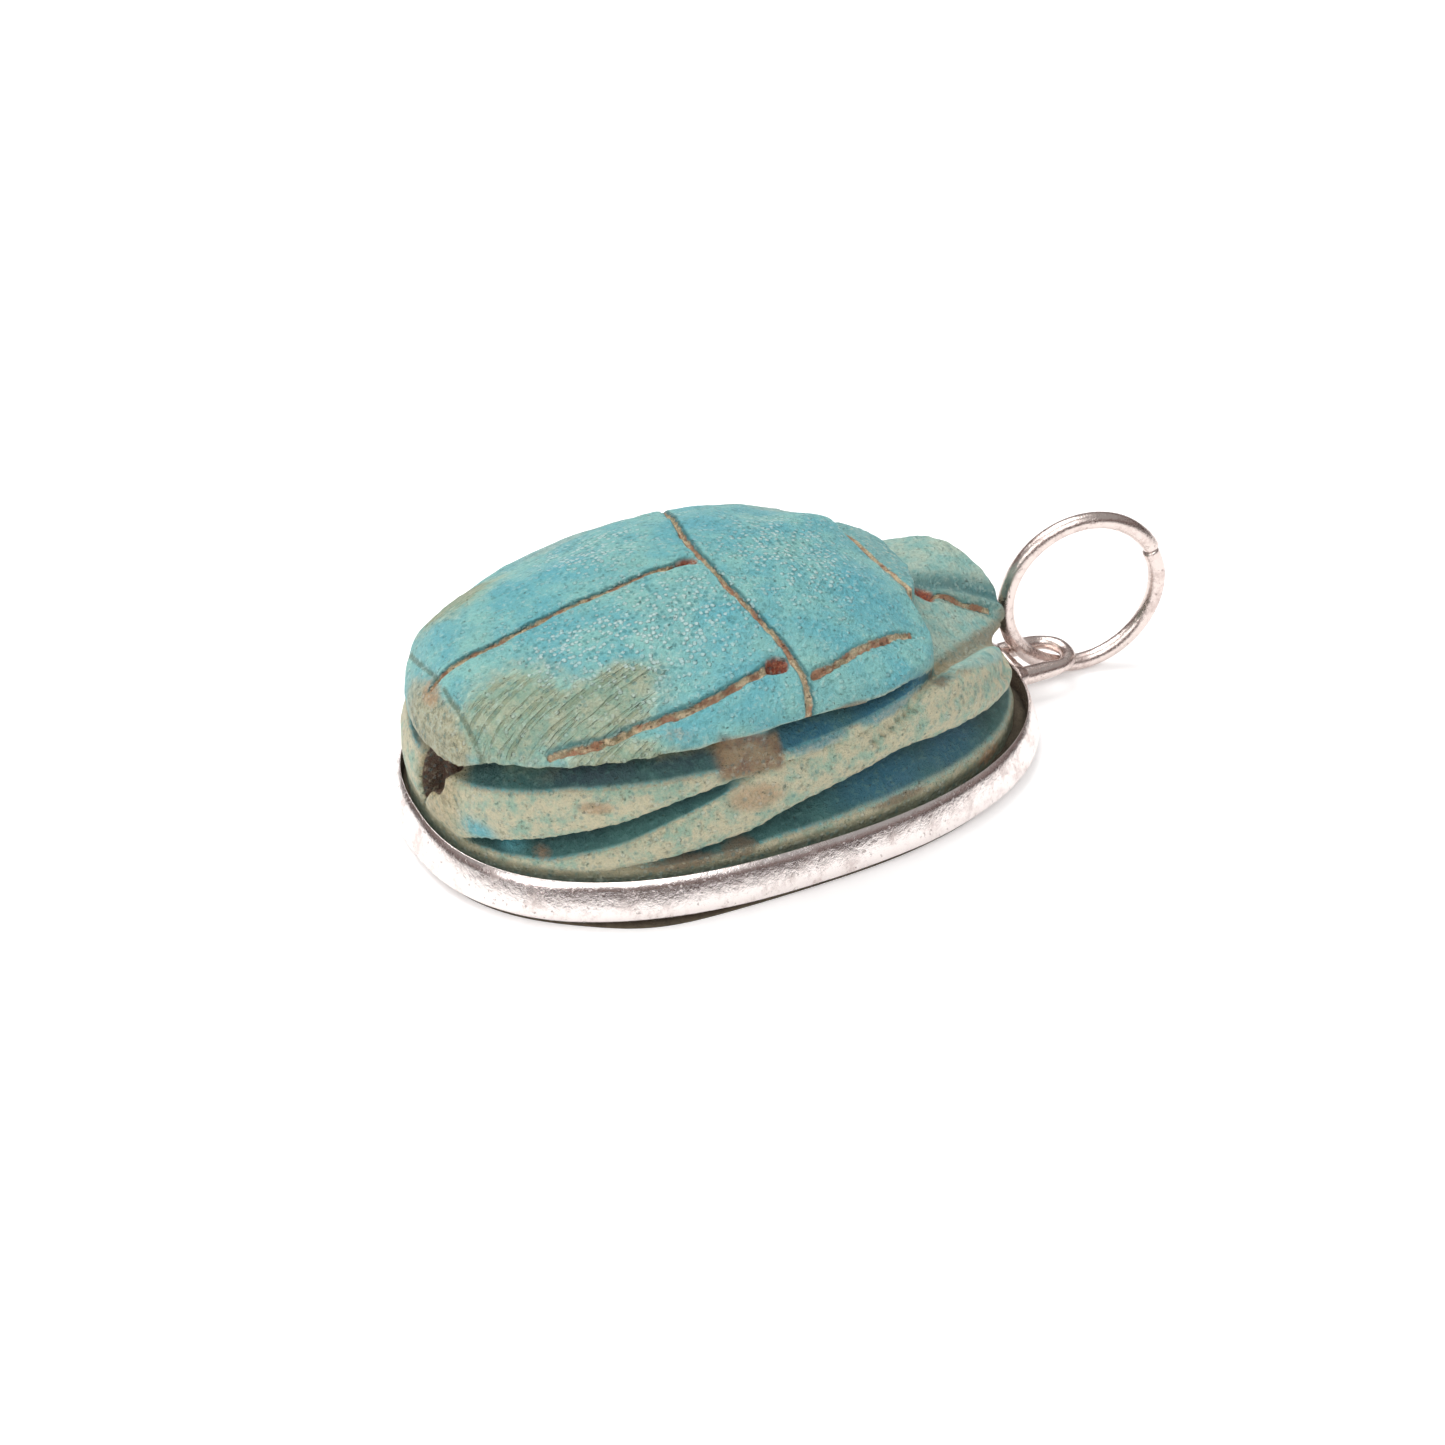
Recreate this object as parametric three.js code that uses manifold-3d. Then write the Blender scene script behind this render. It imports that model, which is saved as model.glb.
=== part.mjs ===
// A glazed scarab in a silver setting with a soldered eye and a jump ring.
// Millimetres. The beetle faces +X, its underside lies on z = 0, and the setting is centred on the origin.
import * as THREE from 'three';
import { mergeVertices } from 'three/addons/utils/BufferGeometryUtils.js';
import Module from 'manifold-3d';

// Scarab: one carved and glazed body
const SCARAB_LENGTH = 27.8;
const SCARAB_WIDTH = 18.8;
const SCARAB_HEIGHT = 11.5;
const OVAL_POWER = 2.4;
const HEAD_TAPER = 0.034;
const PLATE_HEIGHT = 2.3;
const BACK_LEAN = 0.9;
const BORE_DIAMETER = 1.7;
const BORE_HEIGHT = 4.9;
const BORE_SIDE = -1.4;
const BORE_HEAD_HEIGHT = 3.3;
const BORE_HEAD_SIDE = -0.3;
const TAIL_GAP = 2.3;
const GROOVE_DEPTH = 0.42;
const PIT_DEPTH = 0.7;
const LEG_GROOVE_DEPTH = 1.35;
const PLATE_STEP = 0.12;

// Setting: a half-round silver band bent into an oval
const BAND_HEIGHT = 2.0;
const BAND_BULGE = 0.5;
const BAND_LIP = 0.12;
const END_CLEARANCE = 0.38;
const SIDE_CLEARANCE = 0.12;
const SEAT_SHIFT = 0.25;
const BASE_PROUD = 0.15;

// Eye: a hairpin of wire soldered to the head end of the band
const EYE_WIRE = 0.65;
const EYE_WIDTH = 2.95;
const EYE_REACH = 3.45;
const EYE_SOLDER_GAP = 0.05;
const EYE_RAISE = 0.13;

// Jump ring: round wire standing in the eye
const RING_WIRE = 0.8;
const RING_DIAMETER = 8.4;
const RING_TURN = -8.4;
const RING_FLOOR_GAP = 0.02;
const RING_EYE_GAP = 0.06;

// Facet counts
const AROUND = 72;
const BACK_RINGS = 11;
const WIRE_SIDES = 8;
const GROOVE_SIDES = 6;
const BORE_SIDES = 12;
const RING_STEPS = 40;

const wasm = await Module();
wasm.setup();

const halfLength = SCARAB_LENGTH / 2;
const halfWidth = SCARAB_WIDTH / 2;

// A closed geometry as a solid that can be joined and cut.
function solid(geometry) {
  const plain = geometry.index ? geometry.toNonIndexed() : geometry.clone();
  plain.deleteAttribute('normal');
  plain.deleteAttribute('uv');
  const merged = mergeVertices(plain, 1e-4);
  const corners = merged.index.array;
  const kept = [];
  for (let i = 0; i < corners.length; i += 3) {
    const [a, b, c] = [corners[i], corners[i + 1], corners[i + 2]];
    if (a !== b && b !== c && c !== a) kept.push(a, b, c);
  }
  return new wasm.Manifold(new wasm.Mesh({
    numProp: 3,
    vertProperties: Float32Array.from(merged.attributes.position.array),
    triVerts: Uint32Array.from(kept),
  }));
}

// A solid back as a geometry with flat faces.
function geometryOf(body) {
  const mesh = body.getMesh();
  const geometry = new THREE.BufferGeometry();
  geometry.setAttribute('position', new THREE.BufferAttribute(Float32Array.from(mesh.vertProperties), 3));
  geometry.setIndex(Array.from(mesh.triVerts));
  return geometry;
}

// A value that runs in straight stretches through [place, value] pairs.
function along(pairs, place) {
  if (place <= pairs[0][0]) return pairs[0][1];
  for (let i = 1; i < pairs.length; i++) {
    const [x0, y0] = pairs[i - 1];
    const [x1, y1] = pairs[i];
    if (place <= x1) return y0 + (y1 - y0) * (place - x0) / (x1 - x0);
  }
  return pairs[pairs.length - 1][1];
}

const signedPower = (value, power) => Math.sign(value) * Math.abs(value) ** power;

// A point of an oval that is a little narrower towards the head; angle 0 is the head's end.
function ovalPoint(angle, long, wide) {
  const x = long * signedPower(Math.cos(angle), 2 / OVAL_POWER);
  const y = wide * signedPower(Math.sin(angle), 2 / OVAL_POWER) * (1 - HEAD_TAPER * x / long);
  return [x, y];
}

// Shares of the scarab's height along its edge, from the tail (0) round either side to the head (1).
const BRIM_HEIGHT = [[0, 0.53], [0.08, 0.54], [0.14, 0.63], [0.25, 0.66], [0.35, 0.70], [0.47, 0.725],
  [0.6, 0.72], [0.66, 0.68], [0.72, 0.61], [0.8, 0.52], [0.9, 0.43], [1, 0.40]];
// Share of the base's oval that the brim stands on.
const BRIM_SHARE = [[0, 1.01], [0.12, 0.985], [0.25, 0.95], [0.6, 0.94], [0.8, 0.95], [1, 0.93]];
// Height of the back along its midline, by place from the tail's end (-1) to the head's end (1).
const CROWN_HEIGHT = [[-1, 0.74], [-0.9, 0.80], [-0.58, 0.89], [-0.25, 0.985], [-0.1, 1], [0.15, 0.985],
  [0.36, 0.92], [0.5, 0.83], [0.75, 0.7], [1, 0.5]];

// Grooves between the legs, lowest first: lower edge, upper edge and depth along the flank.
const LEG_GROOVES = [
  {
    bottom: [[0, 0.203], [0.28, 0.205], [0.44, 0.225], [0.6, 0.215], [1, 0.21]],
    top: [[0, 0.208], [0.28, 0.215], [0.4, 0.275], [0.45, 0.31], [0.514, 0.405], [0.58, 0.465], [0.68, 0.43],
      [0.8, 0.385], [0.9, 0.33], [1, 0.3]],
    depth: [[0.28, 0], [0.38, 0.4], [0.5, 0.95], [0.6, 1.15], [0.8, 1.15], [0.9, 0.8], [1, 0.8]],
  },
  {
    bottom: [[0, 0.212], [0.09, 0.215], [0.23, 0.24], [0.316, 0.315], [0.42, 0.475], [0.46, 0.54], [0.6, 0.6],
      [0.7, 0.56], [0.8, 0.45], [1, 0.34]],
    top: [[0, 0.218], [0.09, 0.225], [0.11, 0.26], [0.23, 0.36], [0.316, 0.43], [0.368, 0.49], [0.42, 0.535],
      [0.46, 0.555], [0.6, 0.615], [0.7, 0.57], [0.8, 0.46], [1, 0.35]],
    depth: [[0.08, 0], [0.12, 0.7], [0.3, 0.75], [0.42, 0.4], [0.46, 0]],
  },
  {
    bottom: [[0, 0.44], [0.11, 0.47], [0.17, 0.5], [0.25, 0.55], [0.42, 0.575], [0.47, 0.575], [0.515, 0.6],
      [0.57, 0.675], [0.62, 0.69], [0.66, 0.66], [0.72, 0.595], [0.8, 0.505], [0.9, 0.415], [1, 0.385]],
    top: BRIM_HEIGHT,
    depth: [[0, 0.3], [0.06, 0.8], [0.15, 1], [0.4, 1], [0.42, 0.35], [0.465, 0.25], [0.48, 0.8],
      [0.55, 0.8], [0.6, 0.15], [0.66, 0]],
  },
];
// Section of a groove from its lower edge up to its sharp lip: share of its height, share of its depth.
const GROOVE_SECTION = [[0, 0], [0.3, 0.35], [0.7, 1], [0.94, 0.85], [1, 0]];
const LEG_SWELL = 0.12;

// The flank's rings at one place, plate to brim: height share and distance in from the base's edge.
function flankRings(place) {
  const plate = PLATE_HEIGHT / SCARAB_HEIGHT;
  const brim = along(BRIM_HEIGHT, place);
  const drawnIn = halfWidth * (1 - along(BRIM_SHARE, place));
  const rings = [[plate, 0]];
  LEG_GROOVES.forEach((groove, index) => {
    const bottom = along(groove.bottom, place);
    const top = along(groove.top, place);
    if (index > 0) {
      const crest = (rings[rings.length - 1][0] + bottom) / 2;
      rings.push([crest, -LEG_SWELL]);
    }
    for (const [up, deep] of GROOVE_SECTION) {
      rings.push([bottom + (top - bottom) * up, LEG_GROOVE_DEPTH * along(groove.depth, place) * deep]);
    }
  });
  return rings.map(([height, inset]) => {
    const rise = THREE.MathUtils.smoothstep(height, plate, brim);
    return [height, PLATE_STEP + inset + drawnIn * rise];
  });
}

// Roundness of the back's section: an even dome across, fuller towards the two ends.
const DOME_POWER = 2;
const END_POWER = 16;
const DOME_LIFT = 0.667;

// Height of the wing cases and front shield over a place on the base.
function backHeight(x, y) {
  const long = halfLength;
  const wide = halfWidth * (1 - HEAD_TAPER * x / halfLength);
  const reach = (Math.abs(x / long) ** OVAL_POWER + Math.abs(y / wide) ** OVAL_POWER) ** (1 / OVAL_POWER);
  const turn = Math.min(1, Math.abs(x / long) / Math.max(reach, 1e-6)) ** (OVAL_POWER / 2);
  const place = 1 - Math.acos(Math.sign(x) * turn) / Math.PI;
  const part = Math.min(1, reach / along(BRIM_SHARE, place));
  const fullness = DOME_POWER + (END_POWER - DOME_POWER) * turn ** 6;
  const brim = along(BRIM_HEIGHT, place);
  const lift = (1 - part ** fullness) ** DOME_LIFT;
  return SCARAB_HEIGHT * (brim + (along(CROWN_HEIGHT, x / long) - brim) * lift);
}

// The whole beetle before its lines are cut: a turned blank whose rings follow the carved form.
function blank() {
  const sideRings = flankRings(0).length;
  const rows = 2 + sideRings + BACK_RINGS + 1;
  const profile = [];
  for (let row = 0; row < rows; row++) {
    profile.push(new THREE.Vector2(row === 0 || row === rows - 1 ? 0 : 1, row));
  }
  const geometry = new THREE.LatheGeometry(profile, AROUND);
  const points = geometry.attributes.position;
  for (let column = 0; column <= AROUND; column++) {
    const angle = 2 * Math.PI * (column % AROUND) / AROUND;
    const place = 1 - Math.abs(angle > Math.PI ? angle - 2 * Math.PI : angle) / Math.PI;
    const [edgeX, edgeY] = ovalPoint(angle, halfLength, halfWidth);
    const edge = Math.hypot(edgeX, edgeY);
    const rings = flankRings(place);
    const rim = 1 - rings[sideRings - 1][1] / edge;
    const placed = [[0, 0], [1, 0]];
    for (const [height, inset] of rings) placed.push([1 - inset / edge, SCARAB_HEIGHT * height]);
    for (let ring = 1; ring <= BACK_RINGS; ring++) {
      const share = rim * Math.cos(Math.PI / 2 * ring / (BACK_RINGS + 1));
      placed.push([share, backHeight(edgeX * share, edgeY * share)]);
    }
    placed.push([0, backHeight(0, 0)]);
    placed.forEach(([share, z], row) => points.setXYZ(column * rows + row, edgeX * share, edgeY * share, z));
  }
  return solid(geometry);
}

// A closed tube of six or more sides along points on or in the body.
function tube(points, radius, sides, steps) {
  const section = new THREE.Shape();
  for (let i = 0; i < sides; i++) {
    const angle = 2 * Math.PI * (i + 0.5) / sides;
    const corner = [radius * Math.cos(angle), radius * Math.sin(angle)];
    if (i === 0) section.moveTo(...corner);
    else section.lineTo(...corner);
  }
  const path = new THREE.CatmullRomCurve3(points);
  return new THREE.ExtrudeGeometry(section, { steps, extrudePath: path, bevelEnabled: false });
}

// A place on the back given as shares of the half length and half width.
function onBack([x, y]) {
  const [px, py] = [x * halfLength, y * halfWidth];
  return new THREE.Vector3(px, py, backHeight(px, py));
}

// A carved line over the back through such places.
function carvedLine(places, steps) {
  return solid(tube(places.map(onBack), GROOVE_DEPTH, GROOVE_SIDES, steps));
}

// An upright block over a plan outline, from one height to another.
function block(outline, low, high) {
  const shape = new THREE.Shape(outline.map(([x, y]) => new THREE.Vector2(x, y)));
  const geometry = new THREE.ExtrudeGeometry(shape, { depth: high - low, bevelEnabled: false });
  geometry.translate(0, 0, low);
  return solid(geometry);
}

// A large block turned about Y and X whose underside is the sloping face to cut to.
function above(x, y, z, slopeX, slopeY) {
  const size = 3 * SCARAB_LENGTH;
  const geometry = new THREE.BoxGeometry(size, size, size);
  geometry.translate(0, 0, size / 2);
  geometry.rotateX(Math.atan(slopeY));
  geometry.rotateY(-Math.atan(slopeX));
  geometry.translate(x, y, z);
  return solid(geometry);
}

// Front shield's front edge, by place across, and the head in front of it.
const SHIELD_FRONT = 0.5;
const SHIELD_CORNER_BACK = 0.08;
const LEG_TOP = 0.69;
const LEG_TOP_SLOPE = -0.42;
const VALLEY = 0.57;
const VALLEY_SLOPE = -0.22;
const VALLEY_HALF_WIDTH = 0.66;
const VALLEY_HALF_WIDTH_AHEAD = 0.52;
const FAN_BACK = 0.44;
const FAN_MIDDLE = 0.72;
const FAN_TIP = 1.02;
const FAN_HALF_WIDTH = 0.52;
const FAN_TEETH = 5;
const FAN_TOOTH = 0.05;
const FAN_WAIST = 0.9;
const FAN_UNDERSIDE = 0.38;
// The fan's halves either side of its midline: height there, slope towards the head, slope across.
const FAN_FAR = [0.66, -0.5, 0.34];
const FAN_NEAR = [0.64, -0.55, 0.75];
const FAN_CREST = [0.615, 0.05, 0];
const LOBE_HALF_WIDTH = 0.36;
const LOBE_FRONT = 0.68;
const LOBE_HEIGHT = 0.79;
const LOBE_SLOPE = -0.25;
const LOBE_FALL = 0.14;
const LOBE_ROUNDING = 0.45;

// Clears the room in front of the shield that the head stands in: down to the tops of the front legs,
// and deeper between them.
function headRoom() {
  const past = 1.3 * halfLength;
  const beside = 1.1 * halfWidth;
  const front = [];
  const valley = [];
  for (let i = -6; i <= 6; i++) {
    const across = i / 6;
    const back = halfLength * (SHIELD_FRONT - SHIELD_CORNER_BACK * across ** 2);
    front.push([back, across * beside]);
    valley.push([back, across * halfWidth * VALLEY_HALF_WIDTH]);
  }
  front.push([past, beside], [past, -beside]);
  valley.push([past, halfWidth * VALLEY_HALF_WIDTH_AHEAD], [past, -halfWidth * VALLEY_HALF_WIDTH_AHEAD]);
  const start = halfLength * SHIELD_FRONT;
  const room = block(front, 0, 2 * SCARAB_HEIGHT)
    .intersect(above(start, 0, SCARAB_HEIGHT * LEG_TOP, LEG_TOP_SLOPE, 0));
  return room.add(block(valley, 0, 2 * SCARAB_HEIGHT)
    .intersect(above(start, 0, SCARAB_HEIGHT * VALLEY, VALLEY_SLOPE, 0)));
}

// The fan with its toothed front edge: two flat halves that fall away from the midline.
function fan() {
  const outline = [[halfLength * FAN_BACK, -halfWidth * FAN_HALF_WIDTH * FAN_WAIST]];
  const steps = 8 * FAN_TEETH;
  for (let i = 0; i <= steps; i++) {
    const angle = Math.PI * (i / steps - 0.5);
    const tooth = 1 - FAN_TOOTH * Math.abs(Math.sin(FAN_TEETH * angle + Math.PI / 2));
    outline.push([
      halfLength * (FAN_MIDDLE + (FAN_TIP - FAN_MIDDLE) * Math.cos(angle) * tooth),
      halfWidth * FAN_HALF_WIDTH * Math.sin(angle) * tooth,
    ]);
  }
  outline.push([halfLength * FAN_BACK, halfWidth * FAN_HALF_WIDTH * FAN_WAIST]);
  const far = outline.filter(([, y]) => y >= 0);
  const near = outline.filter(([, y]) => y <= 0);
  far.push([halfLength * FAN_BACK, 0]);
  near.push([halfLength * FAN_BACK, 0]);
  const half = (side) => block(side, SCARAB_HEIGHT * FAN_UNDERSIDE, SCARAB_HEIGHT);
  const middle = halfLength * FAN_MIDDLE;
  const over = ([height, ahead, across]) => above(middle, 0, SCARAB_HEIGHT * height, ahead, across);
  return half(far).subtract(over(FAN_FAR)).subtract(over(FAN_CREST)).add(half(near).subtract(over(FAN_NEAR)));
}

// The head's raised middle between the eyes, under a low roof.
function lobe() {
  const back = halfLength * (SHIELD_FRONT - SHIELD_CORNER_BACK);
  const front = halfLength * LOBE_FRONT;
  const side = halfWidth * LOBE_HALF_WIDTH;
  const outline = [[back, -side]];
  for (let i = 0; i <= 8; i++) {
    const angle = Math.PI * (i / 8 - 0.5);
    outline.push([front - side * LOBE_ROUNDING * (1 - Math.cos(angle)), side * Math.sin(angle)]);
  }
  outline.push([back, side]);
  return block(outline, SCARAB_HEIGHT * FAN_UNDERSIDE, SCARAB_HEIGHT)
    .subtract(above(front, 0, SCARAB_HEIGHT * LOBE_HEIGHT, LOBE_SLOPE, LOBE_FALL))
    .subtract(above(front, 0, SCARAB_HEIGHT * LOBE_HEIGHT, LOBE_SLOPE, -LOBE_FALL));
}

// Lines cut into the back, as shares of the half length and half width: between shield and wing cases,
// the seam, and on each side the edges of wing case and shield and the tail's line.
const SHIELD_LINE = [[-0.03, -0.95], [-0.003, -0.82], [-0.01, -0.69], [-0.028, -0.544], [-0.053, -0.318],
  [-0.066, 0], [-0.045, 0.3], [0.017, 0.655], [0.04, 0.94]];
const SEAM_LINE = [[-0.94, 0.03], [-0.725, 0.035], [-0.525, 0.052], [-0.334, 0.04], [-0.1, 0.03]];
const SIDE_LINES = [
  [[-0.76, 0.655], [-0.62, 0.716], [-0.474, 0.742], [-0.323, 0.761], [-0.06, 0.72]],
  [[0.028, 0.795], [0.217, 0.716], [0.43, 0.61]],
  [[-0.92, 0.04], [-0.925, 0.2], [-0.92, 0.38]],
];
// Pits at the meeting of seam and shield and at the shoulders.
const PITS = [[-0.115, 0.04], [-0.06, -0.71], [-0.06, 0.71]];
const PIT_RADIUS = 0.45;
const PIT_TAPER = 1.6;

function scarabGeometry() {
  let body = blank().subtract(headRoom()).add(fan()).add(lobe());
  const lines = [carvedLine(SHIELD_LINE, 20), carvedLine(SEAM_LINE, 10)];
  for (const side of [-1, 1]) {
    for (const places of SIDE_LINES) lines.push(carvedLine(places.map(([x, y]) => [x, side * y]), 6));
  }
  const [fanHeight, fanSlope] = FAN_FAR;
  const fanLine = [LOBE_FRONT, FAN_MIDDLE, FAN_TIP].map((x) => {
    const z = SCARAB_HEIGHT * fanHeight + fanSlope * (x - FAN_MIDDLE) * halfLength;
    return new THREE.Vector3(x * halfLength, 0, z);
  });
  lines.push(solid(tube(fanLine, GROOVE_DEPTH, GROOVE_SIDES, 4)));
  for (const line of lines) body = body.subtract(line);
  for (const place of PITS) {
    const at = onBack(place);
    const pit = new THREE.CylinderGeometry(PIT_RADIUS, PIT_RADIUS * PIT_TAPER, 2 * PIT_DEPTH, GROOVE_SIDES);
    pit.rotateX(Math.PI / 2);
    pit.translate(at.x, at.y, at.z);
    body = body.subtract(solid(pit));
  }
  // stringing bore from end to end, opening at the tail in a gap between the hind legs
  const past = 1.05 * halfLength;
  const tailMouth = new THREE.Vector3(-past, BORE_SIDE, BORE_HEIGHT);
  const headMouth = new THREE.Vector3(past, BORE_HEAD_SIDE, BORE_HEAD_HEIGHT);
  const bore = tube([tailMouth, headMouth], BORE_DIAMETER / 2, BORE_SIDES, 1);
  const gapTop = BORE_HEIGHT + BORE_DIAMETER / 2;
  const gap = new THREE.Shape([
    new THREE.Vector2(BORE_SIDE - TAIL_GAP / 2, gapTop),
    new THREE.Vector2(0, PLATE_HEIGHT),
    new THREE.Vector2(BORE_SIDE + TAIL_GAP / 2, gapTop),
  ]);
  const wedge = new THREE.ExtrudeGeometry(gap, { depth: 2 * TAIL_GAP, bevelEnabled: false });
  wedge.rotateX(Math.PI / 2);
  wedge.rotateZ(Math.PI / 2);
  wedge.translate(-halfLength - TAIL_GAP / 2, 0, 0);
  body = body.subtract(solid(bore)).subtract(solid(wedge));
  return geometryOf(body);
}

// The back leans to one side: each level above the plate is pushed over in proportion.
function lean(geometry) {
  const points = geometry.attributes.position;
  for (let i = 0; i < points.count; i++) {
    const rise = Math.max(0, (points.getZ(i) - PLATE_HEIGHT) / (SCARAB_HEIGHT - PLATE_HEIGHT));
    points.setY(i, points.getY(i) - BACK_LEAN * rise);
  }
  return geometry;
}

const bandLong = halfLength + END_CLEARANCE;
const bandWide = halfWidth + SIDE_CLEARANCE;

// Half-round band: flat inside, bulging outside, thin at its upper and lower edges.
function settingGeometry() {
  const profile = [];
  const bulgeSteps = 7;
  for (let i = 0; i <= bulgeSteps; i++) {
    const angle = Math.PI * (i / bulgeSteps - 0.5);
    const out = BAND_LIP + (BAND_BULGE - BAND_LIP) * Math.cos(angle);
    profile.push([out, BAND_HEIGHT / 2 * (1 + Math.sin(angle))]);
  }
  profile.push([0, BAND_HEIGHT], [0, 0], profile[0]);
  const outline = profile.map(([out, up]) => new THREE.Vector2(1 + out, up));
  const geometry = new THREE.LatheGeometry(outline, AROUND);
  const points = geometry.attributes.position;
  for (let column = 0; column <= AROUND; column++) {
    const angle = 2 * Math.PI * (column % AROUND) / AROUND;
    const [x, y] = ovalPoint(angle, bandLong, bandWide);
    const [ax, ay] = ovalPoint(angle - 0.001, bandLong, bandWide);
    const [bx, by] = ovalPoint(angle + 0.001, bandLong, bandWide);
    const outward = new THREE.Vector2(by - ay, ax - bx).normalize();
    profile.forEach(([out, up], row) => {
      points.setXYZ(column * profile.length + row, x + outward.x * out, y + outward.y * out, BASE_PROUD + up);
    });
  }
  return geometryOf(solid(geometry));
}

const eyeHeight = BASE_PROUD + BAND_HEIGHT / 2 + EYE_RAISE;
const eyeRoot = bandLong + BAND_BULGE + EYE_SOLDER_GAP;
const eyeTip = eyeRoot + EYE_REACH;

// Hairpin: two straight legs out from the band and a half turn.
function eyeGeometry() {
  const bend = (EYE_WIDTH - EYE_WIRE) / 2;
  const centre = eyeTip - EYE_WIRE / 2 - bend;
  const corner = (x, y) => new THREE.Vector3(x, y, eyeHeight);
  const points = [corner(eyeRoot, -bend), corner((eyeRoot + centre) / 2, -bend)];
  for (let i = 0; i <= 8; i++) {
    const angle = Math.PI * (i / 8 - 0.5);
    points.push(corner(centre + bend * Math.cos(angle), bend * Math.sin(angle)));
  }
  points.push(corner((eyeRoot + centre) / 2, bend), corner(eyeRoot, bend));
  return tube(points, EYE_WIRE / 2, WIRE_SIDES, 28);
}

// Closed ring of round wire, its lowest point just off the ground and its near side through the eye.
function ringGeometry() {
  const radius = (RING_DIAMETER - RING_WIRE) / 2;
  const geometry = new THREE.TorusGeometry(radius, RING_WIRE / 2, WIRE_SIDES, RING_STEPS);
  geometry.rotateX(Math.PI / 2);
  geometry.rotateZ(THREE.MathUtils.degToRad(RING_TURN));
  const centreHeight = RING_DIAMETER / 2 + RING_FLOOR_GAP;
  const reach = radius - (RING_WIRE + EYE_WIRE) / 2 - RING_EYE_GAP;
  const drop = centreHeight - eyeHeight;
  const ahead = Math.sqrt(Math.max(reach ** 2 - drop ** 2, 0));
  geometry.translate(eyeTip - EYE_WIRE / 2 + ahead, 0, centreHeight);
  return geometry;
}

function mesh(name, geometry, material) {
  const piece = new THREE.Mesh(geometry, new THREE.MeshStandardMaterial(material));
  piece.name = name;
  return piece;
}

const amulet = new THREE.Group();
const scarab = mesh('scarab', lean(scarabGeometry()), { color: 0x74b8bc, roughness: 0.6, metalness: 0 });
scarab.position.x = -SEAT_SHIFT;
const silver = { color: 0xd9cfc8, roughness: 0.32, metalness: 1 };
amulet.add(
  scarab,
  mesh('silver_setting', settingGeometry(), silver),
  mesh('soldered_eye', eyeGeometry(), silver),
  mesh('jump_ring', ringGeometry(), silver),
);

export default amulet;
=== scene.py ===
import math

import bpy
import numpy as np
from mathutils import Matrix


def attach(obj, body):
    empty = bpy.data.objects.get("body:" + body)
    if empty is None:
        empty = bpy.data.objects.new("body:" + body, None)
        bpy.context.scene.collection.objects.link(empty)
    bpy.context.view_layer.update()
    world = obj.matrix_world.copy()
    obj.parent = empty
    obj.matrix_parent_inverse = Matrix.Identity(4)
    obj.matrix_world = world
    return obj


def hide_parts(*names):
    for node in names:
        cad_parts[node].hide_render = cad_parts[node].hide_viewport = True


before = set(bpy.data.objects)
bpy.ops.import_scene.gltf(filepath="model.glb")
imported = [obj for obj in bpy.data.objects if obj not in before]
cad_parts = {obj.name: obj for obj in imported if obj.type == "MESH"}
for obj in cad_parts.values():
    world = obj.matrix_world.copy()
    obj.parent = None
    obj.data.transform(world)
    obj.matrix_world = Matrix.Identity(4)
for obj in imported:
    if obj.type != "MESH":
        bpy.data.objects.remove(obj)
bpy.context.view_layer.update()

# Camera: the photograph is taken from the tail's near side, a third of the way up, with a 30 degree
# view over its square frame. Its three axes and its place come from the setting's oval and the ring.
MM = 0.001
CAMERA_PLACE = (-43.417, -89.251, 68.686)
CAMERA_AZIMUTH = math.radians(-25.99)
CAMERA_ELEVATION = math.radians(33.73)
CAMERA_VIEW = math.radians(30)

lens = bpy.data.cameras.new("camera")
lens.sensor_width = 36.0
lens.lens = lens.sensor_width / 2 / math.tan(CAMERA_VIEW / 2)
lens.clip_start = 0.001
lens.clip_end = 10.0
camera = bpy.data.objects.new("camera", lens)
bpy.context.scene.collection.objects.link(camera)
turned = Matrix.Rotation(CAMERA_AZIMUTH, 4, "Z") @ Matrix.Rotation(math.pi / 2 - CAMERA_ELEVATION, 4, "X")
camera.matrix_world = Matrix.Translation([MM * value for value in CAMERA_PLACE]) @ turned
bpy.context.scene.camera = camera


# Table and light: a white sheet under the amulet that glows faintly, as painted light that fills the amulet
# from below, soft boxes above and behind it, before it and low on the viewer's left, and a pale room, so that
# almost no shadow falls. A low drab screen stands all round, out of the camera's sight; the silver shows it
# as its darker streaks.
TABLE_HALF = 0.9
TABLE_WHITE = (0.9, 0.9, 0.9, 1)
TABLE_GLOW = 0.3
ROOM_COLOUR = (0.91, 0.9, 0.89, 1)
ROOM_STRENGTH = 0.44
SCREEN_REACH = 0.45
SCREEN_TIERS = [("low_screen", 0.001, 0.1, (52, 42, 41)), ("upper_screen", 0.1, 0.24, (138, 121, 118))]
SCREEN_PANELS = 48
SOFT_BOXES = [
    {"name": "overhead_box", "place": (-0.05, 0.16, 0.36), "size": 0.34, "power": 1.45},
    {"name": "front_box", "place": (-0.06, -0.26, 0.36), "size": 0.26, "power": 0.62},
    {"name": "side_box", "place": (-0.30, -0.16, 0.22), "size": 0.22, "power": 0.36},
]


class Signal:
    """A shader socket that can stand in a sum: each operator adds the Math node that it needs."""

    def __init__(self, finish, socket):
        self.finish = finish
        self.socket = socket

    def reckon(self, operation, first, second):
        return self.finish.node("ShaderNodeMath", {"operation": operation}, {0: first, 1: second})

    def __add__(self, other):
        return self.reckon("ADD", self, other)

    def __sub__(self, other):
        return self.reckon("SUBTRACT", self, other)

    def __rsub__(self, other):
        return self.reckon("SUBTRACT", other, self)

    def __mul__(self, other):
        return self.reckon("MULTIPLY", self, other)

    __radd__ = __add__
    __rmul__ = __mul__


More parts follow.
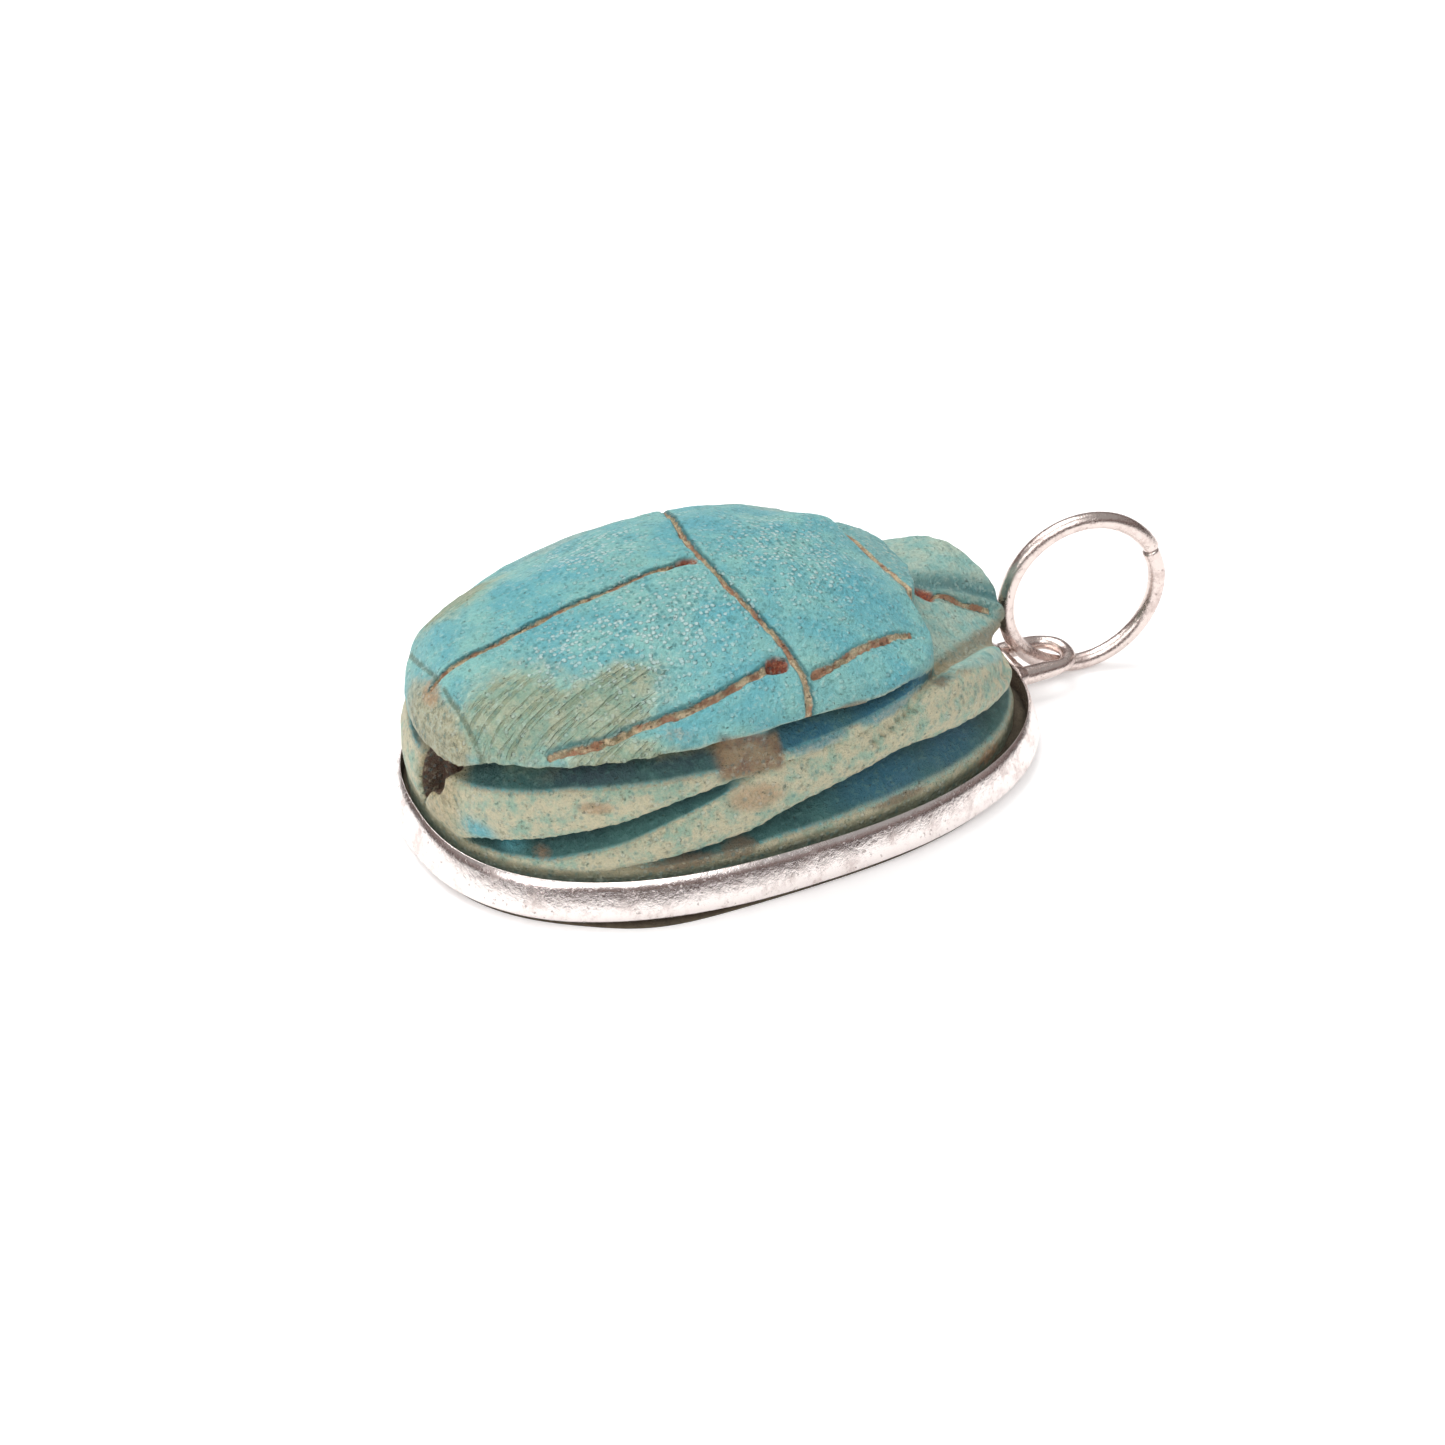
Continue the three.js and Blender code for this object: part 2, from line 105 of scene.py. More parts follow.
class Finish:
    """One material as it is built up, from its surface shader back."""

    def __init__(self, name):
        self.material = bpy.data.materials.new(name)
        self.material.use_nodes = True
        self.nodes = self.material.node_tree.nodes
        self.links = self.material.node_tree.links
        self.surface = self.nodes["Principled BSDF"]
        coordinates = self.nodes.new("ShaderNodeTexCoord")
        self.metres = Signal(self, coordinates.outputs["Object"])
        self.mm = self.node("ShaderNodeVectorMath", {"operation": "SCALE"}, {0: self.metres, "Scale": 1000.0})

    def node(self, kind, settings, values, output=0):
        made = self.nodes.new(kind)
        for name, value in settings.items():
            setattr(made, name, value)
        for name, value in values.items():
            if isinstance(value, Signal):
                self.links.new(value.socket, made.inputs[name])
            else:
                made.inputs[name].default_value = value
        return Signal(self, made.outputs[output])

    def noise(self, scale, detail=3.0, roughness=0.55, where=None):
        return self.node("ShaderNodeTexNoise", {}, {
            "Vector": where or self.mm, "Scale": scale, "Detail": detail, "Roughness": roughness,
        })

    def stretched(self, turn, scales):
        return self.node("ShaderNodeMapping", {"vector_type": "TEXTURE"}, {
            "Vector": self.mm, "Rotation": turn, "Scale": [1 / scale for scale in scales],
        })

    def between(self, value, low, high):
        settings = {"interpolation_type": "SMOOTHSTEP"}
        return self.node("ShaderNodeMapRange", settings, {"Value": value, "From Min": low, "From Max": high})

    def painted(self, name):
        return self.node("ShaderNodeAttribute", {"attribute_name": name}, {}, "Fac")

    def mix(self, share, first, second):
        settings = {"data_type": "RGBA", "clamp_factor": True}
        return self.node("ShaderNodeMix", settings, {0: share, 6: first, 7: second}, 2)

    def bump(self, height, depth, under=None, strength=1.0):
        values = {"Strength": strength, "Distance": depth * MM, "Height": height}
        if under:
            values["Normal"] = under
        return self.node("ShaderNodeBump", {}, values)

    def set(self, **values):
        for name, value in values.items():
            socket = self.surface.inputs[name.replace("_", " ")]
            if isinstance(value, Signal):
                self.links.new(value.socket, socket)
            else:
                socket.default_value = value


def tint(red, green, blue):
    """A colour as it looks on a screen, 0 to 255, in the light's own numbers."""
    light = []
    for channel in (red, green, blue):
        share = channel / 255
        light.append(share / 12.92 if share < 0.04045 else ((share + 0.055) / 1.055) ** 2.4)
    return (*light, 1.0)


def new_piece(name, points, faces, finish):
    """A smoothly shaded piece from points in millimetres."""
    mesh = bpy.data.meshes.new(name)
    mesh.from_pydata((np.asarray(points) * MM).tolist(), [], faces)
    mesh.polygons.foreach_set("use_smooth", [True] * len(mesh.polygons))
    mesh.materials.append(finish.material)
    mesh.update()
    piece = bpy.data.objects.new(name, mesh)
    bpy.context.scene.collection.objects.link(piece)
    return piece


paper = Finish("white_sheet")
# the sheet's glow is painted light: it lights the amulet faintly from below and washes out the shadows on the
# sheet
paper.set(Base_Color=TABLE_WHITE, Roughness=0.9, Emission_Color=TABLE_WHITE, Emission_Strength=TABLE_GLOW)
paper.set(Normal=paper.bump(paper.noise(0.8), 0.02, strength=0.2))
reach = TABLE_HALF / MM
table = new_piece("table", [(-reach, -reach, 0), (reach, -reach, 0), (reach, reach, 0), (-reach, reach, 0)],
                  [(0, 1, 2, 3)], paper)

for name, low, high, cloth_colour in SCREEN_TIERS:
    cloth = Finish(name)
    cloth.set(Base_Color=tint(*cloth_colour), Roughness=0.9)
    edge_points = []
    for panel in range(SCREEN_PANELS):
        turn = 2 * math.pi * panel / SCREEN_PANELS
        foot = (SCREEN_REACH * math.cos(turn) / MM, SCREEN_REACH * math.sin(turn) / MM)
        edge_points += [(*foot, low / MM), (*foot, high / MM)]
    corners = [(2 * panel, 2 * ((panel + 1) % SCREEN_PANELS)) for panel in range(SCREEN_PANELS)]
    screen = new_piece(name, edge_points, [(a, a + 1, b + 1, b) for a, b in corners], cloth)
    screen.visible_camera = False

for box in SOFT_BOXES:
    light = bpy.data.lights.new(box["name"], "AREA")
    light.shape = "SQUARE"
    light.size = box["size"]
    light.energy = box["power"]
    lamp = bpy.data.objects.new(box["name"], light)
    bpy.context.scene.collection.objects.link(lamp)
    toward = Matrix.Translation(box["place"]).to_translation()
    lamp.location = toward
    lamp.rotation_euler = toward.to_track_quat("Z", "Y").to_euler()

room = bpy.data.worlds.new("room")
room.use_nodes = True
room.node_tree.nodes["Background"].inputs["Color"].default_value = ROOM_COLOUR
room.node_tree.nodes["Background"].inputs["Strength"].default_value = ROOM_STRENGTH
bpy.context.scene.world = room
bpy.context.scene.view_settings.view_transform = "Standard"


# Scarab: one lump of glazed composition, carved before it was glazed: wing cases and front shield over
# an oval base, a toothed fan at the head, and legs left standing between deep grooves round the flank.
# It drops into the setting from above, where the band holds it; the dark fill in the gap round its foot is
# painted shade.
LONG = 13.9
WIDE = 9.4
TALL = 11.5
OVAL_POWER = 2.4
HEAD_TAPER = 0.034
PLATE_TOP = 2.3
BACK_LEAN = 0.9
SEAT_SHIFT = 0.25
GRID = 0.142
PLATE_STEP = 0.12
LEG_SWELL = 0.2
GROOVE_DEPTH = 1.35
TAIL_GAP = 2.3
BORE_RADIUS = 0.85
BORE_TAIL = (-14.6, -1.4, 4.9)
BORE_HEAD = (14.6, -0.3, 3.3)

# Shares of the height and of the base's oval, from the tail (0) round either side to the head (1).
BRIM = [(0, 0.53), (0.08, 0.54), (0.14, 0.63), (0.25, 0.66), (0.35, 0.70), (0.47, 0.725), (0.6, 0.72),
        (0.66, 0.68), (0.72, 0.61), (0.8, 0.52), (0.9, 0.43), (1, 0.40)]
BRIM_SHARE = [(0, 1.01), (0.12, 0.985), (0.25, 0.95), (0.6, 0.94), (0.8, 0.95), (1, 0.93)]
# Height along the midline, by place from the tail's end (-1) to the head's end (1).
CROWN = [(-1, 0.74), (-0.9, 0.80), (-0.58, 0.89), (-0.25, 0.985), (-0.1, 1), (0.15, 0.985), (0.36, 0.92),
         (0.5, 0.83), (0.75, 0.7), (1, 0.5)]
# Grooves between the legs, lowest first: lower edge, upper edge and depth round the flank.
LEG_GROOVES = [
    ([(0, 0.203), (0.28, 0.205), (0.44, 0.225), (0.6, 0.215), (1, 0.21)],
     [(0, 0.208), (0.28, 0.215), (0.4, 0.275), (0.45, 0.31), (0.514, 0.405), (0.58, 0.465), (0.68, 0.43),
      (0.8, 0.385), (0.9, 0.33), (1, 0.3)],
     [(0.28, 0), (0.38, 0.4), (0.5, 0.95), (0.6, 1.15), (0.8, 1.15), (0.9, 0.8), (1, 0.8)]),
    ([(0, 0.212), (0.09, 0.215), (0.23, 0.24), (0.316, 0.315), (0.42, 0.475), (0.46, 0.54), (0.6, 0.6),
      (0.7, 0.56), (0.8, 0.45), (1, 0.34)],
     [(0, 0.218), (0.09, 0.225), (0.11, 0.26), (0.23, 0.36), (0.316, 0.43), (0.368, 0.49), (0.42, 0.535),
      (0.46, 0.555), (0.6, 0.615), (0.7, 0.57), (0.8, 0.46), (1, 0.35)],
     [(0.08, 0), (0.12, 0.7), (0.3, 0.75), (0.42, 0.4), (0.46, 0.12), (0.55, 0.1), (0.6, 0)]),
    ([(0, 0.44), (0.11, 0.47), (0.17, 0.5), (0.25, 0.55), (0.42, 0.575), (0.47, 0.575), (0.515, 0.6),
      (0.57, 0.65), (0.62, 0.665), (0.66, 0.635), (0.72, 0.58), (0.8, 0.505), (0.9, 0.415), (1, 0.385)],
     BRIM,
     [(0, 0.3), (0.06, 0.8), (0.15, 1), (0.4, 1), (0.42, 0.35), (0.465, 0.25), (0.478, 0.8), (0.57, 0.75),
      (0.63, 0.5), (0.68, 0.3), (0.74, 0)]),
]
# Lines cut into the back, as shares of the half length and half width.
SHIELD_LINE = [(-0.03, -0.95), (-0.003, -0.82), (-0.01, -0.69), (-0.028, -0.544), (-0.053, -0.318),
               (-0.066, 0), (-0.045, 0.3), (0.017, 0.655), (0.04, 0.94)]
SEAM_LINE = [(-0.94, 0.03), (-0.725, 0.035), (-0.525, 0.052), (-0.334, 0.04), (-0.1, 0.03)]
WING_SIDE_LINE = [(-0.76, 0.655), (-0.62, 0.716), (-0.474, 0.742), (-0.323, 0.761), (-0.06, 0.72)]
SHIELD_SIDE_LINE = [(0.028, 0.795), (0.217, 0.716), (0.43, 0.61)]
HEAD_LINE = [(0.5, 0.42), (0.508, 0.234), (0.52, 0.04), (0.532, -0.1), (0.543, -0.21), (0.55, -0.36)]
FAN_LINE = [(0.71, -0.036), (0.82, -0.054), (0.95, -0.076)]
TAIL_LINE = [(-0.92, 0.04), (-0.925, 0.2), (-0.92, 0.38), (-0.91, 0.5)]
PITS = [(-0.115, 0.04), (-0.06, -0.71), (-0.06, 0.71)]
HEAD_PIT = (0.712, -0.03)
LINE_HALF_WIDTH = 0.18
LINE_DEPTH = 0.27
TAIL_LINE_HALF_WIDTH = 0.16
TAIL_LINE_SHARE = 0.5
PIT_HALF_LONG = 0.55
PIT_HALF_WIDE = 0.36
PIT_DEPTH = 0.62
WING_STEP = 0.16
SHIELD_STEP = 0.2
FAR_SWELL = 0.42
FAR_SWELL_PLACE = (6.4, 2.6)


def smooth(low, high, value):
    share = np.clip((value - low) / (high - low), 0, 1)
    return share * share * (3 - 2 * share)


def eased(pairs, where, width=0.02):
    """Values through the pairs with their corners rounded, mirrored at both ends."""
    places, values = zip(*pairs)
    fine = np.linspace(places[0] if places[0] < 0 else 0, 1, 801)
    straight = np.interp(fine, places, values)
    spread = max(1, round(width / (fine[1] - fine[0])))
    kernel = np.hanning(2 * spread + 3)[1:-1]
    padded = np.pad(straight, spread, mode="reflect")
    return np.interp(where, fine, np.convolve(padded, kernel / kernel.sum(), mode="valid"))


def lesser(first, second, rounding):
    """The smaller of two distances, with the edge between them rounded."""
    overlap = np.clip(rounding - np.abs(first - second), 0, None) / rounding
    return np.minimum(first, second) - overlap * overlap * rounding / 4


def greater(first, second, rounding):
    return -lesser(-first, -second, rounding)


def mottle(x, y, z, size, seed):
    """A soft random field between -1 and 1 whose spots are about one size across."""
    rng = np.random.default_rng(seed)
    total = 0.0
    for _ in range(6):
        heading = rng.normal(size=3)
        heading *= 2 * math.pi / size / np.linalg.norm(heading) * rng.uniform(0.6, 1.3)
        warp = rng.normal(size=3) * math.pi / size
        phase = rng.uniform(0, 2 * math.pi, 2)
        wave = heading[0] * x + heading[1] * y + heading[2] * z + phase[0]
        total = total + np.sin(wave + 1.3 * np.sin(warp[0] * x + warp[1] * y + warp[2] * z + phase[1]))
    return total / 3.2


def beside(x, y, path):
    """Distance from a path in plan, and the side of it: positive on the left of its run."""
    near = np.full(x.shape, np.inf)
    side = np.zeros(x.shape)
    for (ax, ay), (bx, by) in zip(path[:-1], path[1:]):
        run = np.clip(((x - ax) * (bx - ax) + (y - ay) * (by - ay)) / ((bx - ax) ** 2 + (by - ay) ** 2), 0, 1)
        dx = x - ax - run * (bx - ax)
        dy = y - ay - run * (by - ay)
        distance = np.hypot(dx, dy)
        closer = distance < near
        near = np.where(closer, distance, near)
        side = np.where(closer, np.sign((bx - ax) * dy - (by - ay) * dx), side)
    return near, side


def sized(path, mirrored=1):
    """A line in millimetres, run smoothly through its places."""
    corners = np.array([(x * LONG, mirrored * y * WIDE) for x, y in path])
    ends = np.vstack([2 * corners[0] - corners[1], corners, 2 * corners[-1] - corners[-2]])
    run = []
    for before, start, end, after in zip(ends, ends[1:], ends[2:], ends[3:]):
        for t in (0, 0.25, 0.5, 0.75):
            bend = 2 * before - 5 * start + 4 * end - after
            turn = 3 * start - before - 3 * end + after
            run.append(start + 0.5 * ((end - before) * t + bend * t ** 2 + turn * t ** 3))
    return run + [corners[-1]]


def plan(x, y):
    """What depends on the place in plan alone: the oval, the brim, the carved lines and the back's height."""
    wide = WIDE * (1 - HEAD_TAPER * x / LONG)
    share = (np.abs(x / LONG) ** OVAL_POWER + np.abs(y / wide) ** OVAL_POWER) ** (1 / OVAL_POWER)
    share = np.maximum(share, 1e-6)
    turn = np.minimum(1, np.abs(x / LONG) / share) ** (OVAL_POWER / 2)
    around = 1 - np.arccos(np.sign(x) * turn) / math.pi
    edge = np.hypot(x, y) / share
    brim_share = eased(BRIM_SHARE, around)
    brim = eased(BRIM, around)
    inward = np.minimum(1, share / brim_share)
    fullness = 2 + 14 * turn ** 6
    lift = np.clip(1 - inward ** fullness, 0, None) ** 0.667
    back = TALL * (brim + (eased(CROWN, x / LONG, 0.06) - brim) * lift)
    swell_x, swell_y = FAR_SWELL_PLACE
    back = back + FAR_SWELL * np.exp(-((x - swell_x) / 1.4) ** 2 - ((y - swell_y) / 2.8) ** 2)
    back = np.minimum(back, TALL * 0.998)

    # the lines wander a little, as a hand-held point does; each has its width and depth as shares of
    # the usual ones, and the side on which its wall gets painted shade
    sway_x = x + 0.05 * mottle(x, y, 0 * x, 2.6, 3)
    sway_y = y + 0.05 * mottle(x, y, 0 * x, 2.1, 4)
    lines = [
        (beside(sway_x, sway_y, sized(SHIELD_LINE)), 0.86, 1.1, -1),
        (beside(sway_x, sway_y, sized(SEAM_LINE)), 0.8, 1.0, 1),
        (beside(sway_x, sway_y, sized(HEAD_LINE)), 1.15, 0.7, 0),
        (beside(sway_x, sway_y, sized(FAN_LINE)), 0.38, 0, 0.6),
    ]
    for side in (-1, 1):
        lines.append((beside(sway_x, sway_y, sized(WING_SIDE_LINE, side)), 0.76, 0.95, -0.8 * side))
        lines.append((beside(sway_x, sway_y, sized(SHIELD_SIDE_LINE, side)), 0.72, 0.8, -0.5 * side))
    rough = 1 + 0.2 * mottle(x, y, 0 * x, 0.9, 5)
    floor = np.zeros(x.shape)
    line_away = np.full(x.shape, 4.0)
    line_shade_side = np.zeros(x.shape)
    for (distance, side), width, depth, shaded_side in lines:
        away = distance / (LINE_HALF_WIDTH * rough * width)
        line_shade_side = np.where(away < line_away, side * shaded_side, line_shade_side)
        line_away = np.minimum(line_away, away)
        floor = np.maximum(floor, depth * np.clip(1 - away ** 2, 0, None) ** 0.8)
    tail_lines = np.minimum(*[beside(sway_x, sway_y, sized(TAIL_LINE, side))[0] for side in (-1, 1)])
    floor = np.maximum(floor, TAIL_LINE_SHARE * np.clip(1 - tail_lines / TAIL_LINE_HALF_WIDTH, 0, 1))
    pits = np.zeros(x.shape)
    for px, py in PITS:
        dx = (x - px * LONG) / PIT_HALF_LONG
        dy = (y - py * WIDE) / PIT_HALF_WIDE
        ragged = 1 + 0.18 * mottle(x, y, 0 * x, 0.5, 6)
        pits = np.maximum(pits, np.clip(1 - (dx * dx + dy * dy) * ragged, 0, None) ** 0.7)
    steps = 0
    for side in (-1, 1):
        outer = beside(x, y, sized(WING_SIDE_LINE, side))
        within = smooth(-0.76, -0.6, x / LONG) * (1 - smooth(-0.035, -0.02, x / LONG))
        steps = steps + WING_STEP * within * (outer[1] * side > 0) * np.exp(-outer[0] / 1.1)
        outer = beside(x, y, sized(SHIELD_SIDE_LINE, side))
        within = smooth(-0.01, 0.005, x / LONG) * (1 - smooth(0.4, 0.5, x / LONG))
        steps = steps + SHIELD_STEP * within * (outer[1] * side > 0) * np.exp(-outer[0] / 1.6)
    back = back - LINE_DEPTH * floor - PIT_DEPTH * pits - steps
    return {"around": around, "edge": edge, "share": share, "brim": brim, "brim_share": brim_share,
            "back": back, "line_away": line_away, "line_shade_side": line_shade_side, "tail_lines": tail_lines,
            "pits": pits}


# The head in front of the shield: room between the front legs, with the lobe and the fan standing in it.
SHIELD_FRONT = 0.5
LEG_TOP = (0.69, -0.42)
VALLEY = (0.56, -0.3)
VALLEY_NEAR = (6.0, -0.69)
VALLEY_FAR = (5.8, -0.3)
LOBE_FRONT = 9.15
LOBE_TURN = 0.17
LOBE_NEAR = 3.1
LOBE_FAR = 4.4
FAN_BACK = 0.5
FAN_MIDDLE = 0.72
FAN_TIP = 1.025
FAN_HALF_WIDTH = 0.52
FAN_TEETH = 15
FAN_TOOTH_SHARE = 0.016
FAN_SCOOP_DEPTH = 0.42
FAN_NOTCH_DEPTH = 0.25
HEAD_PIT_RADIUS = 0.42
HEAD_PIT_DEPTH = 0.5
COLLAR_DEPTH = 0.16
FAN_UNDERSIDE = 0.38


def past_valley(x, y):
    """How far a place lies outside the bottom of the valley between the fan and a front leg."""
    ahead = x - LONG * SHIELD_FRONT
    near = VALLEY_NEAR[0] + VALLEY_NEAR[1] * ahead
    far = VALLEY_FAR[0] + VALLEY_FAR[1] * ahead
    return np.where(y < 0, (-y - near) / math.hypot(1, VALLEY_NEAR[1]), y - far)


def head_top(x, y, back):
    """Height of the room in front of the shield with the lobe in it, and how far ahead a place is."""
    start = LONG * SHIELD_FRONT
    shield_edge = start + 0.05 - 0.11 * np.clip(y, -WIDE, 2) - 1.17e-5 * y ** 6
    legs = TALL * LEG_TOP[0] + LEG_TOP[1] * (x - start)
    valley = TALL * VALLEY[0] + VALLEY[1] * (x - start)
    past = past_valley(x, y)
    room = legs + (np.minimum(valley, legs) - legs) * (1 - smooth(-0.1, 1.3, past))
    side = np.where(y < 0, LOBE_NEAR, LOBE_FAR)
    rounding = 1.3 * (1 - np.sqrt(np.clip(1 - (y / side) ** 2, 0, 1)))
    inside = lesser(LOBE_FRONT + LOBE_TURN * y - rounding - x, side - np.abs(y), 0.5)
    roof = TALL * 0.815 - 0.14 * (x - LOBE_FRONT) - 0.05 * np.abs(y) - 0.02 * y ** 2
    room = room + (np.maximum(roof, room) - room) * smooth(-0.12, 0.3, inside)
    collar = np.exp(-((x - shield_edge - 0.1) / 0.22) ** 2) * (np.abs(y) < WIDE * 0.42)
    room = np.minimum(room, back + 0.1) - COLLAR_DEPTH * collar
    ahead_of_shield = smooth(-0.15, 0.15, x - shield_edge)
    return back + (np.minimum(room, back) - back) * ahead_of_shield, ahead_of_shield


def fan_line(x):
    """Where the line between the fan's two halves runs, at a place along the amulet."""
    return -0.31 - 0.108 * (x - 9.55)


def fan_distance(x, y, z):
    """Inside the fan: its serrated outline, its two sloping halves and its underside."""
    middle = LONG * FAN_MIDDLE
    across = y / (WIDE * FAN_HALF_WIDTH)
    out = np.maximum(x - middle, 0) / (LONG * FAN_TIP - middle)
    angle = np.arctan2(across, out + 1e-6)
    teeth = 1 - FAN_TOOTH_SHARE * (0.5 + 0.5 * np.cos(2 * FAN_TEETH * angle)) * smooth(0.2, 0.6, out + 0 * y)
    outline = (teeth - np.hypot(out, across)) * 4.2
    outline = lesser(outline, x - LONG * FAN_BACK, 0.4)
    outline = lesser(outline, np.where(y < 0, -0.15 - past_valley(x, y), 9.0), 0.3)
    beyond = y - fan_line(x)
    far = TALL * 0.67 - 0.47 * (x - middle) + 0.33 * y
    crest = TALL * 0.635 + 0.02 * (x - middle) - 0.07 * np.clip(y - 2.5, 0, None) ** 2
    far = lesser(far, crest, 0.8)
    far = far - FAN_SCOOP_DEPTH * np.exp(-((beyond - 0.6) / 0.5) ** 2) * smooth(9.0, 10.4, x)
    near = TALL * 0.62 - 0.53 * (x - middle) + 0.35 * y
    top = near + (far - near) * smooth(-0.1, 0.2, beyond)
    top = top - FAN_NOTCH_DEPTH * np.exp(-(beyond / 0.2) ** 2)
    pit = np.hypot(x - HEAD_PIT[0] * LONG, y - HEAD_PIT[1] * WIDE) / HEAD_PIT_RADIUS
    top = top - HEAD_PIT_DEPTH * np.exp(-pit ** 2)
    inside = lesser((top - z) / 1.2, outline, 0.35)
    return lesser(inside, z - TALL * FAN_UNDERSIDE, 0.3)


def flank(around, height, brim, brim_share):
    """How far the flank stands in from the base's edge at a height, and how deep in a groove that is."""
    plate = PLATE_TOP / TALL
    inset = PLATE_STEP + WIDE * (1 - brim_share) * smooth(plate, brim, height)
    recess = np.zeros(np.broadcast(around, height).shape)
    groove = np.zeros(recess.shape)
    overhung = np.zeros(recess.shape)
    below = plate + 0 * around
    for index, (lower, upper, depths) in enumerate(LEG_GROOVES):
        bottom = eased(lower, around)
        top = np.maximum(eased(upper, around), bottom + 0.004)
        depth = eased(depths, around, 0.012)
        up = (height - bottom) / (top - bottom)
        section = np.interp(up, [0, 0.18, 0.4, 0.7, 0.86, 0.95, 1.0], [0, 0.12, 0.5, 0.95, 1.0, 0.75, 0])
        section = np.where((up <= 0) | (up >= 1), 0, section)
        inset = inset + GROOVE_DEPTH * depth * section
        recess = np.maximum(recess, section * np.minimum(depth, 1))
        groove = np.maximum(groove, smooth(0.02, 0.35, up) * (up < 1) * smooth(0.12, 0.5, depth))
        overhung = np.maximum(overhung, smooth(0.5, 0.85, up) * (up < 1.02) * np.minimum(depth, 1))
        if index > 0:
            ridge = np.clip((height - below) / np.maximum(bottom - below, 1e-3), 0, 1)
            inset = inset - LEG_SWELL * np.sin(math.pi * ridge) * smooth(0.02, 0.1, bottom - below)
        below = top
    return inset, np.maximum(recess, groove), overhung


def carved_distance(x, y, z, base, top, ahead):
    """How far inside the carved body a point is, in the upright frame, before the back leans."""
    inset, _, _ = flank(base["around"], z / TALL, base["brim"], base["brim_share"])
    beside_flank = base["edge"] * (1 - base["share"]) - inset
    under_back = (top["height"] - z) * top["steepness"]
    body = lesser(beside_flank, under_back, 0.16 + 1.3 * ahead)
    fan = fan_distance(x, y, z)
    body = greater(body, fan, 0.45)
    # the stringing bore and the gap between the hind legs that it opens in
    run = (x - BORE_TAIL[0]) / (BORE_HEAD[0] - BORE_TAIL[0])
    bore_y = BORE_TAIL[1] + run * (BORE_HEAD[1] - BORE_TAIL[1])
    bore_z = BORE_TAIL[2] + run * (BORE_HEAD[2] - BORE_TAIL[2])
    body = lesser(body, np.hypot(y - bore_y, z - bore_z) - BORE_RADIUS, 0.2)
    gap_top = BORE_TAIL[2] + BORE_RADIUS
    gap_share = np.clip((z - PLATE_TOP) / (gap_top - PLATE_TOP), 0, 1)
    gap_middle = gap_share * BORE_TAIL[1]
    gap = lesser(gap_share * TAIL_GAP / 2 - np.abs(y - gap_middle), -LONG + TAIL_GAP / 2 - x, 0.3)
    gap = lesser(lesser(gap, z - PLATE_TOP, 0.1), gap_top - z, 0.3)
    body = lesser(body, -gap, 0.25)
    weathering = 0.022 * mottle(x, y, z, 1.7, 11) + 0.012 * mottle(x, y, z, 0.8, 12)
    return lesser(body + weathering, z, 0.12)


def skin(field, corner):
    """Faces round a sampled solid: a point in each cell that its surface passes, joined across edges."""
    cells = np.array(field.shape) - 1
    total = np.zeros((cells.prod(), 3))
    count = np.zeros(cells.prod())
    quads = []
    for axis in range(3):
        first = [slice(None)] * 3
        second = [slice(None)] * 3
        first[axis] = slice(0, -1)
        second[axis] = slice(1, None)
        start = field[tuple(first)]
        end = field[tuple(second)]
        crossing = np.argwhere((start > 0) != (end > 0))
        a = start[tuple(crossing.T)]
        b = end[tuple(crossing.T)]
        point = crossing.astype(float)
        point[:, axis] += a / (a - b)
        one, two = [other for other in range(3) if other != axis]
        ring = []
        for step_one, step_two in ((0, 0), (-1, 0), (-1, -1), (0, -1)):
            cell = crossing.copy()
            cell[:, one] += step_one
            cell[:, two] += step_two
            number = np.ravel_multi_index(tuple(cell.T), tuple(cells))
            ring.append(number)
            count += np.bincount(number, minlength=len(count))
            for part in range(3):
                total[:, part] += np.bincount(number, point[:, part], minlength=len(count))
        ring = np.stack(ring, 1)
        outward = (a > 0) == (axis != 1)
        quads.append(np.where(outward[:, None], ring, ring[:, ::-1]))
    used = np.flatnonzero(count)
    index = np.full(len(count), -1)
    index[used] = np.arange(len(used))
    points = corner + GRID * total[used] / count[used][:, None]
    return points, index[np.concatenate(quads)]


xs = np.arange(-LONG - 0.5, LONG + 0.5, GRID)
ys = np.arange(-WIDE - 0.5, WIDE + 0.5, GRID)
zs = np.arange(-0.5 * GRID - GRID, TALL + 0.5, GRID)
grid_x, grid_y = np.meshgrid(xs, ys, indexing="ij")


base = plan(grid_x, grid_y)
height, ahead = head_top(grid_x, grid_y, base["back"])
slope_x, slope_y = np.gradient(height, GRID)
top = {"height": height, "steepness": 1 / np.sqrt(1 + slope_x ** 2 + slope_y ** 2)}
field = np.stack([carved_distance(grid_x, grid_y, level, base, top, ahead) for level in zs], axis=2)
points, quads = skin(field, np.array([xs[0], ys[0], zs[0]]))

# the flat underside needs no cells: one face closes it
low = points[:, 2] < 0.03
points[low, 2] = 0.0
quads = quads[~low[quads].all(axis=1)]
border = {}
edges = np.concatenate([quads[:, [side, (side + 1) % 4]] for side in range(4)])
both_low = edges[low[edges].all(axis=1)]
for start, end in both_low:
    border[int(end)] = int(start)
first_corner = next(iter(border))
underside = [first_corner]
while border[underside[-1]] != first_corner:
    underside.append(border[underside[-1]])

x, y, z = points.T
base = plan(x, y)
inset, recess, overhung = flank(base["around"], z / TALL, base["brim"], base["brim_share"])
inward = base["edge"] * (1 - base["share"]) - inset
height, ahead = head_top(x, y, base["back"])
on_back = smooth(0.75, 0.2, height - z) * smooth(0.0, 0.04, z / TALL - base["brim"] + 0.05)
in_flank = (1 - smooth(-0.01, 0.02, z / TALL - base["brim"])) * smooth(PLATE_TOP - 0.3, PLATE_TOP + 0.2, z)
rise = np.clip((z - PLATE_TOP) / (TALL - PLATE_TOP), 0, None)
from_head_pit = np.hypot(x - HEAD_PIT[0] * LONG, y - HEAD_PIT[1] * WIDE)
leaning = np.stack([x - SEAT_SHIFT, y - BACK_LEAN * rise, z], axis=1)


